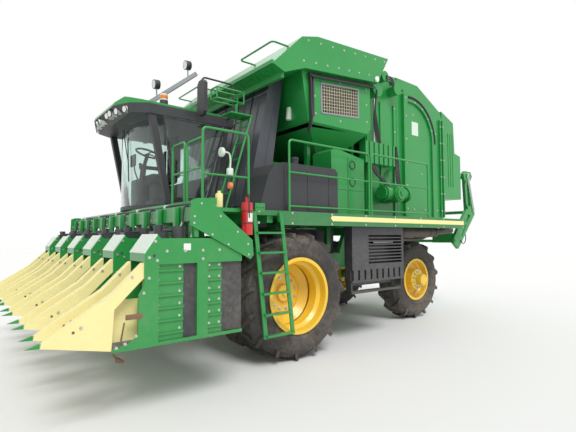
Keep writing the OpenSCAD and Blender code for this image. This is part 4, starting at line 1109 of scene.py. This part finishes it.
@dataclass
class Deck:
    """Stripe, lamps, labels and fittings along the side platforms."""

    face: float = 2.2
    stripe_middle: float = 2.085
    stripe_front: float = -0.62

    def make_fascia(self) -> None:
        """Makes the stripe with its pointed end, the bolts and the tab of the fascia, with painted
        shade in the tab's holes.
        """
        y, x, z = self.face, self.stripe_front, self.stripe_middle
        stripes = []
        for s in SIDES:
            stripes.append(SHOP.box((-4.60, s * y, 2.045), (x, s * (y + 0.0018), 2.125)))
            point = SHOP.box((-0.66, s * y, 2.0565), (-0.58, s * (y + 0.0017), 2.1135))
            SHOP.begin()
            point.select_set(True)
            bpy.context.view_layer.objects.active = point
            turn, middle = math.radians(45), at(x, s * y, z)
            bpy.ops.transform.rotate(value=turn, orient_axis="Y", center_override=middle)
            stripes.append(point)
        SHOP.finish(stripes, "side_stripes", Paint.STRIPE)
        places = (0.79, 0.20, -0.6, -1.4, -2.2, -3.0, -3.8, -4.55)
        heads = [(x, y, z) for z in (2.145, 1.995) for x in places]
        SHOP.finish(SHOP.side_bolts(heads, 0.012), "fascia_bolts", Paint.ZINC)
        tab = SHOP.box((0.69, y, 2.13), (0.85, y + 0.006, 2.26), 0.003)
        SHOP.finish([tab], "fascia_tab", Paint.GREEN)
        # Dark discs of painted shade in the tab's three holes
        near, far, places = y + 0.0055, y + 0.0065, (0.72, 0.77, 0.82)
        hole_shades = [SHOP.rod((x, near, 2.20), (x, far, 2.20), 0.012) for x in places]
        SHOP.finish(hole_shades, "tab_hole_painted_shade", Paint.SHEET)

    def make_landing(self) -> None:
        """Makes the lamps, the canister and the extinguisher's fittings at the landing."""
        lamp = SHOP.rod((1.30, 2.13, 2.90), (1.345, 2.13, 2.90), 0.062, 28, 0.01)
        arm = [(x, 2.13, z) for x, z in ((1.30, 2.90), (1.22, 2.90), (1.20, 2.86), (1.20, 2.62))]
        post = SHOP.tube(arm, 0.011)
        pot = SHOP.rod((1.20, 2.13, 2.605), (1.20, 2.13, 2.70), 0.045, 24, 0.008)
        SHOP.finish([lamp, post, pot], "landing_lamp", Paint.PALE)
        amber = SHOP.rods((1.19, 2.16, 2.47), (1.235, 2.16, 2.47), 0.045, 24, 0.008)
        SHOP.finish(amber, "side_amber_lamps", Paint.AMBER)
        can = SHOP.rod((1.33, 2.08, 2.181), (1.33, 2.08, 2.37), 0.05, 24, 0.015)
        lid = SHOP.rod((1.33, 2.08, 2.37), (1.33, 2.08, 2.40), 0.022, 16, 0.004)
        SHOP.finish([can, lid], "canister", Paint.LIFTER)
        hose = [(1.005, 2.24, 2.33), (1.005, 2.27, 2.36), (1.02, 2.31, 2.28), (1.02, 2.315, 2.05)]
        bottle = [SHOP.tube(hose, 0.009)]
        bottle.append(SHOP.box((0.985, 2.20, 2.325), (1.03, 2.28, 2.345), 0.004))
        for z in (1.98, 2.14):
            bottle.append(SHOP.ring((1.005, 2.24, z), (0, 0, 1), 0.077, 0.006, 32, 6))
        SHOP.finish(bottle, "extinguisher_fittings", Paint.PLASTIC)
        label = SHOP.box((0.97, 2.3145, 2.00), (1.04, 2.3162, 2.11))
        SHOP.finish([label], "extinguisher_label", Paint.LABEL)

    def make_boxes(self) -> None:
        """Makes the fittings of the service boxes and tanks, and the small upper bracket."""
        grips = [
            SHOP.ring((-1.41, s * 1.903, z), LEFT, 0.07, 0.010, 28, 8)
            for z in (2.75, 3.05) for s in SIDES
        ]
        SHOP.finish(grips, "box_handles", Paint.PLASTIC)
        seams = SHOP.boxes((-1.70, 1.899, 2.60), (-0.90, 1.902, 2.608))
        for x in (-1.30, -0.895):
            seams += SHOP.boxes((x, 1.899, 2.20), (x + 0.010, 1.902, 3.17))
        SHOP.finish(seams, "box_seams", Paint.SHEET)
        fittings = SHOP.rods((-0.10, 1.90, 2.985), (-0.10, 1.90, 3.03), 0.062, 12, 0.008)
        half, low, high, shelf = 0.014, 3.86, 4.03, 3.665
        bars = [SHOP.box((0.42, 1.22, shelf), (0.82, 1.52, shelf + 0.02), 0.004)]
        bars.append(SHOP.rod((0.63, 1.37, shelf), (0.63, 1.37, low), 0.022, 14))
        for x in (0.55, 1.02):
            bars += [SHOP.rod((x, y, low), (x, y, high), half, 4) for y in (1.28, 1.46)]
            bars += [SHOP.rod((x, 1.28, z), (x, 1.46, z), half, 4) for z in (low, high)]
        for y in (1.28, 1.46):
            bars += [SHOP.rod((0.55, y, z), (1.02, y, z), half, 4) for z in (low, high)]
        SHOP.finish(bars, "upper_bracket", Paint.GREEN)
        for x in (0.20, -0.25, -0.70):
            fittings += SHOP.boxes((x, 2.058, 2.20), (x + 0.03, 2.066, 2.82), 0.003)
        SHOP.finish(fittings, "tank_fittings", Paint.PLASTIC)

    def build(self) -> None:
        """Makes the pieces of the platforms and the landing."""
        self.make_fascia()
        self.make_landing()
        self.make_boxes()


@dataclass
class Towers:
    """Creases, hoses and frames of the ducts, the accumulator and the hood."""

    duct_pitch: float = 0.45
    duct_foot: float = 2.25
    # How far the ducts' front and side edges lean back for each metre of height
    front_lean: float = 470 / 2142
    side_lean: float = 0.19

    def make_ducts(self) -> None:
        """Makes the creases of the air ducts, and the horn."""
        ribs = []
        for i in range(6):
            y = (i - 2.5) * self.duct_pitch
            edge = [(0.432, y, 2.05), (0.432, y, self.duct_foot), (-0.036, y, 4.38)]
            ribs.append(SHOP.tube(edge, 0.012, smooth=False))
            for z in (2.30, 4.20):
                x = 0.43 - (z - self.duct_foot) * self.front_lean
                low, high = (x - 0.004, y - 0.208, z), (x + 0.010, y + 0.208, z + 0.03)
                ribs.append(SHOP.box(low, high, 0.003))
        ends = [(0.20 - (z - self.duct_foot) * self.side_lean, 1.331, z) for z in (2.30, 4.30)]
        ribs += SHOP.rods(*ends, 0.010, 8)
        SHOP.finish(ribs, "duct_creases", Paint.DUCT)
        horn = SHOP.rod((-0.43, 1.345, 3.80), (-0.45, 1.345, 4.02), 0.05, 24, 0.01)
        SHOP.finish([horn], "horn", Paint.PALE)

    def make_windows(self) -> None:
        """Makes the frames, wires and backs of the windows over the hopper."""
        y, front, back, sill = 1.78, -0.80, -1.72, 3.90
        corners = [(front, y, 3.895), (-0.79, y, 4.405), (back, y, 4.50), (back, y, 3.97)]
        frames = []
        for a, b in zip(corners, corners[1:] + corners[:1]):
            frames += SHOP.rods(a, b, 0.018, 8)
        SHOP.finish(frames, "window_frames", Paint.GREY)
        wires, y = [], 1.783
        for i in range(1, 15):
            x, rise = front - 0.92 * i / 15, 0.10 * i / 15
            wires += SHOP.rods((x, y, sill + 0.75 * rise), (x, y, 4.405 + rise), 0.006, 6)
        for i in range(1, 9):
            z = sill + 0.505 * i / 9
            wires += SHOP.rods((front, y, z), (back, y, z + 0.085), 0.006, 6)
        SHOP.finish(wires, "window_wires", Paint.WIRE)
        backs = SHOP.boxes((-1.74, 1.752, 3.96), (front, 1.755, 4.44))
        SHOP.finish(backs, "window_backs", Paint.RUST)

    def make_fittings(self) -> None:
        """Makes the bolts, hoses and lamps of the accumulator and the hood."""
        spots = [(-0.62, 4.45), (-0.64, 4.15), (-0.66, 3.86), (-1.95, 3.93), (-1.95, 4.25)]
        spots += [(-1.95, 4.55), (-1.25, 3.83), (-1.25, 4.52)]
        heads = SHOP.side_bolts([(x, 1.78, z) for x, z in spots], 0.013)
        edges = row((-0.30, 1.90, 4.62), (-2.15, 1.90, 4.80), 8)
        edges += row((-0.40, 1.90, 4.98), (-2.35, 1.90, 5.14), 8)
        SHOP.finish(heads + SHOP.side_bolts(edges, 0.013), "tower_bolts", Paint.ZINC)
        hoses = []
        for k in range(3):
            y, drop = 1.80 + k * 0.03, 0.03 * k
            run = ((-0.50, 4.50), (-1.00, 4.545), (-1.55, 4.60), (-2.12, 4.655))
            hoses += SHOP.tubes([(x, y, z - drop) for x, z in run], 0.016)
        for k in range(2):
            y = 1.80 + k * 0.035
            fall = [(-0.50, y, 4.50), (-0.515, y, 4.30), (-0.52, y, 4.00), (-0.53, y, 3.74)]
            hoses += SHOP.tubes(fall + [(-0.56, y - 0.10, 3.55)], 0.018)
        SHOP.finish(hoses, "tower_hoses", Paint.HOSE)
        channel = SHOP.boxes((-0.585, 1.78, 3.78), (-0.555, 1.84, 4.48), 0.004)
        SHOP.finish(channel, "hose_channels", Paint.SATIN)
        lamps = SHOP.rods((-2.10, 1.90, 4.74), (-2.10, 1.935, 4.74), 0.055, 28, 0.012)
        SHOP.finish(lamps, "hood_lamps", Paint.LENS)

    def build(self) -> None:
        """Makes the pieces behind the cab."""
        self.make_ducts()
        self.make_windows()
        self.make_fittings()


@dataclass
class Builder:
    """Hoses, rods, fasteners and plates of the module builder and its handler."""

    side: float = 1.45
    # The middle of the gate's round edge and of the gearbox, along and up
    gate_middle: tuple[float, float] = (-3.80, 3.96)
    gearbox: tuple[float, float] = (-2.85, 2.65)
    strands: int = 3

    def make_hoses(self) -> None:
        """Makes the chamber's bundles of hoses and its tension rods."""
        y = self.side
        hoses, grey = [], []
        for k in range(self.strands):
            o = 0.045 * k
            top = [(-2.66, y + 0.26, 5.00 - o), (-2.90, y + 0.20, 5.03 - o)]
            hoses += SHOP.tubes(top + [(-3.00, y + 0.18, 4.97 - o)], 0.018)
            upper = [(-2.45, y + 0.18, 4.70 - o), (-2.42, y + 0.16, 4.40)]
            upper += [(-2.44 - o, y + 0.12, 4.00), (-2.50 - o, y + 0.14, 3.66)]
            hoses += SHOP.tubes(upper, 0.016)
            lower = [(-2.30 - o, y + 0.15, 3.22), (-2.32 - o, y + 0.20, 3.05)]
            lower += [(-2.52 - o, y + 0.24, 2.88), (-2.62 - o, y + 0.24, 2.78)]
            hoses += SHOP.tubes(lower, 0.017)
            ribbed = [(-3.00 - o, y + 0.24, 2.76), (-3.06 - o, y + 0.16, 3.10)]
            ribbed += [(-3.18 - o, y + 0.06, 3.30), (-3.22, y + 0.045, 3.60 + o)]
            grey += SHOP.tubes(ribbed, 0.019)
        rods = SHOP.rods((-2.483, y + 0.075, 4.55), (-2.470, y + 0.075, 3.66), 0.022, 20)
        SHOP.finish(hoses, "builder_hoses", Paint.HOSE)
        SHOP.finish(grey, "corrugated_hoses", Paint.HOSE)
        SHOP.finish(rods, "tension_rods", Paint.CHROME)

    def make_gate(self) -> None:
        """Makes the gate's hoses, and the bolts of the gate and the chamber."""
        y, (x, z) = self.side, self.gate_middle
        hoses = SHOP.tubes(arc((x, y + 0.025, z), 0.885, range(85, 182, 8)), 0.017)
        hoses += SHOP.tubes(arc((x, y + 0.037, z), 0.915, range(85, 182, 8)), 0.017)
        SHOP.finish(hoses, "gate_hoses", Paint.HOSE, "gate")
        spots = [(-3.55, y + 0.075, z) for z in (2.4, 2.9, 3.4, 3.9, 4.4, 4.8)]
        heights = (2.4, 2.8, 3.2, 3.6, 4.0, 4.4)
        spots += [(x, y + 0.045, z) for x in (-4.945, -5.06) for z in heights]
        panel = ((-3.9, 2.4), (-4.3, 2.4), (-3.9, 4.5), (-4.2, 3.2), (-4.8, 2.4), (-4.8, 4.2))
        spots += [(x, y, z) for x, z in panel]
        spots += arc((x, y + 0.04, z), 0.83, (100, 120, 140, 160))
        SHOP.finish(SHOP.side_bolts(spots, 0.014), "gate_bolts", Paint.ZINC, "gate")
        spots = [(x, y + 0.03, z) for x in (-2.34, -3.20) for z in (2.6, 3.1, 4.0, 4.5)]
        SHOP.finish(SHOP.side_bolts(spots, 0.014), "chamber_bolts", Paint.ZINC)

    def make_plates(self) -> None:
        """Makes the gearboxes' flanges and the gate's plain panels."""
        y, (x, z) = self.side + 0.415, self.gearbox
        flanges = SHOP.rods((x, self.side + 0.40, z), (x, y, z), 0.150, 32, 0.003)
        flanges += SHOP.side_bolts(arc((x, y, z), 0.135, range(0, 360, 45)), 0.012)
        flanges += SHOP.rods((x, y + 0.025, z), (x, y + 0.045, z), 0.05, 6)
        SHOP.finish(flanges, "gearbox_flanges", Paint.GREEN)
        panels = SHOP.boxes((-4.10, self.side, 4.05), (-3.86, self.side + 0.0018, 4.35))
        SHOP.finish(panels, "gate_panels", Paint.PALE, "gate")

    def make_handler(self) -> None:
        """Makes the rods, pins and hose loops of the rear handler."""
        rods = SHOP.rods((-6.845, 1.150, 3.50), (-7.135, 1.150, 2.50), 0.018, 14)
        rods += SHOP.rods((-6.80, 1.150, 3.45), (-7.085, 1.150, 2.47), 0.011, 12)
        for x, z in ((-7.11, 2.48), (-6.83, 3.47)):
            rods += SHOP.rods((x, 1.131, z), (x, 1.175, z), 0.035, 20, 0.004)
        long = [(-6.72, 1.14, 3.30), (-6.62, 1.15, 3.05), (-6.66, 1.15, 2.72), (-6.80, 1.14, 2.55)]
        short = [(-6.40, 1.14, 1.70), (-6.48, 1.15, 1.62), (-6.60, 1.15, 1.66), (-6.66, 1.14, 1.85)]
        loops = SHOP.tubes(long, 0.014) + SHOP.tubes(short, 0.012)
        SHOP.finish(rods, "handler_rods", Paint.CHROME, "handler")
        SHOP.finish(loops, "handler_loops", Paint.HOSE, "handler")

    def build(self) -> None:
        """Makes the pieces on the chamber, the gate and the handler."""
        self.make_hoses()
        self.make_gate()
        self.make_plates()
        self.make_handler()


@dataclass
class Underside:
    """Muffler bands, frame hoses, coolers and filters under the platforms."""

    # How much the muffler rises for each metre to the rear
    muffler_rise: float = 0.0133

    def build(self) -> None:
        """Makes the pieces below the deck."""
        rise = self.muffler_rise
        bands = [
            SHOP.ring((x, 1.75, 1.88 + (-2.70 - x) * rise), (-1, 0, rise), 0.112, 0.007, 36, 6)
            for x in (-2.80, -2.95, -3.90, -4.10)
        ]
        tail = SHOP.rod((-4.72, 1.797, 1.938), (-4.765, 1.801, 1.941), 0.066, 28)
        bend = [(-2.62, 1.66, 1.72), (-3.00, 1.66, 1.74), (-3.70, 1.66, 1.755)]
        pipe = SHOP.tube(bend + [(-3.95, 1.68, 1.80), (-4.02, 1.70, 1.86)], 0.035)
        SHOP.finish([*bands, tail, pipe], "exhaust_bands", Paint.EXHAUST)
        hoses = []
        for y in (0.52, 0.555, 0.59, 0.625):
            run = [(0.62, y, 1.47), (0.0, y, 1.475), (-1.2, y, 1.47), (-2.4, y, 1.48)]
            hoses += SHOP.tubes(run, 0.014)
        SHOP.finish(hoses, "frame_hoses", Paint.HOSE)
        coolers = SHOP.boxes((-2.60, 1.868, 0.95), (-1.28, 1.885, 1.955), 0.004)
        SHOP.finish(coolers, "belly_coolers", Paint.SATIN)
        filters = SHOP.rods((-2.42, 1.938, 1.70), (-1.85, 1.938, 1.70), 0.045, 32, 0.008)
        SHOP.finish(filters, "belly_filters", Paint.STEEL)


# Studio


@dataclass
class Studio:
    """Floor, lights and the camera at the photograph's place."""

    eye: Point = (AXLE + 4.025, 6.829, 1.792)
    heading: float = -128.96
    pitch: float = 2.95
    roll: float = -0.26
    focal: float = 26.106
    sensor: float = 36.0
    reach: float = 500.0
    floor_half: float = 150.0
    drop: float = 0.001
    floor_colour: Colour = (0.78, 0.78, 0.77)
    floor_roughness: float = 0.9
    # What the white surround lights the machine with, beside 1 where it is seen or reflected
    surround: float = 0.65

    def make_camera(self) -> None:
        """Places the camera where the photograph was taken from."""
        data = bpy.data.cameras.new("view_camera")
        data.sensor_width = self.sensor
        data.sensor_fit = "HORIZONTAL"
        data.lens = self.focal
        data.clip_end = self.reach
        camera = bpy.data.objects.new("view_camera", data)
        bpy.context.scene.collection.objects.link(camera)
        turn, lift, tilt = (math.radians(v) for v in (self.heading, self.pitch, self.roll))
        level = Vector((math.cos(turn), math.sin(turn), 0)) * math.cos(lift)
        look = level + Vector((0, 0, math.sin(lift)))
        right = look.cross(Vector((0, 0, 1))).normalized()
        up = right.cross(look)
        side = right * math.cos(tilt) + up * math.sin(tilt)
        top = up * math.cos(tilt) - right * math.sin(tilt)
        basis = Matrix((side, top, -look)).transposed()
        camera.matrix_world = Matrix.Translation(self.eye) @ basis.to_4x4()
        bpy.context.scene.camera = camera

    def make_floor(self) -> None:
        """Lays a large pale floor."""
        bpy.ops.object.select_all(action="DESELECT")
        bpy.ops.mesh.primitive_plane_add(size=2 * self.floor_half, location=(0, 0, -self.drop))
        floor = bpy.context.object
        floor.name = "floor"
        material = bpy.data.materials.new("pale_floor")
        material.use_nodes = True
        shader = material.node_tree.nodes["Principled BSDF"]
        shader.inputs["Base Color"].default_value = (*self.floor_colour, 1)
        shader.inputs["Roughness"].default_value = self.floor_roughness
        floor.data.materials.append(material)

    def make_lights(self) -> None:
        """Adds a soft white surround, a broad key light and a fill."""
        world = bpy.data.worlds.new("surround")
        bpy.context.scene.world = world
        world.use_nodes = True
        wire = Wiring(world.node_tree)
        world.node_tree.nodes.clear()
        rays = wire.add("ShaderNodeLightPath").outputs
        seen = wire.maths("MAXIMUM", rays["Is Camera Ray"], rays["Is Glossy Ray"])
        seen = wire.maths("MAXIMUM", seen, rays["Is Transmission Ray"])
        strength = wire.maths("MULTIPLY_ADD", seen, 1 - self.surround, self.surround)
        background = wire.add("ShaderNodeBackground")
        wire.feed(background, Color=(1, 1, 1, 1), Strength=strength)
        wire.feed(wire.add("ShaderNodeOutputWorld"), Surface=background.outputs[0])
        for name, angles, power, spread in (
            ("key_light", (38.0, 12.0, 150.0), 2.1, 25.0),
            ("fill_light", (60.0, 0.0, -60.0), 0.5, 60.0),
        ):
            data = bpy.data.lights.new(name, "SUN")
            data.energy = power
            data.angle = math.radians(spread)
            lamp = bpy.data.objects.new(name, data)
            lamp.rotation_euler = tuple(math.radians(a) for a in angles)
            bpy.context.scene.collection.objects.link(lamp)

    def build(self) -> None:
        """Makes the camera, the floor and the lights."""
        self.make_camera()
        self.make_floor()
        self.make_lights()
        view = bpy.context.scene.view_settings
        view.view_transform = "Standard"
        log.info("studio ready")


def main() -> None:
    """Builds the studio and dresses the machine."""
    logging.basicConfig(level=logging.INFO, format="%(message)s")
    Studio().build()
    dress_frame()
    for assembly in (WheelHardware, PickingHead, Lifters, Cab, Deck, Towers, Builder, Underside):
        assembly().build()
        log.info("%s done", assembly.__name__)


if __name__ == "__main__":
    main()
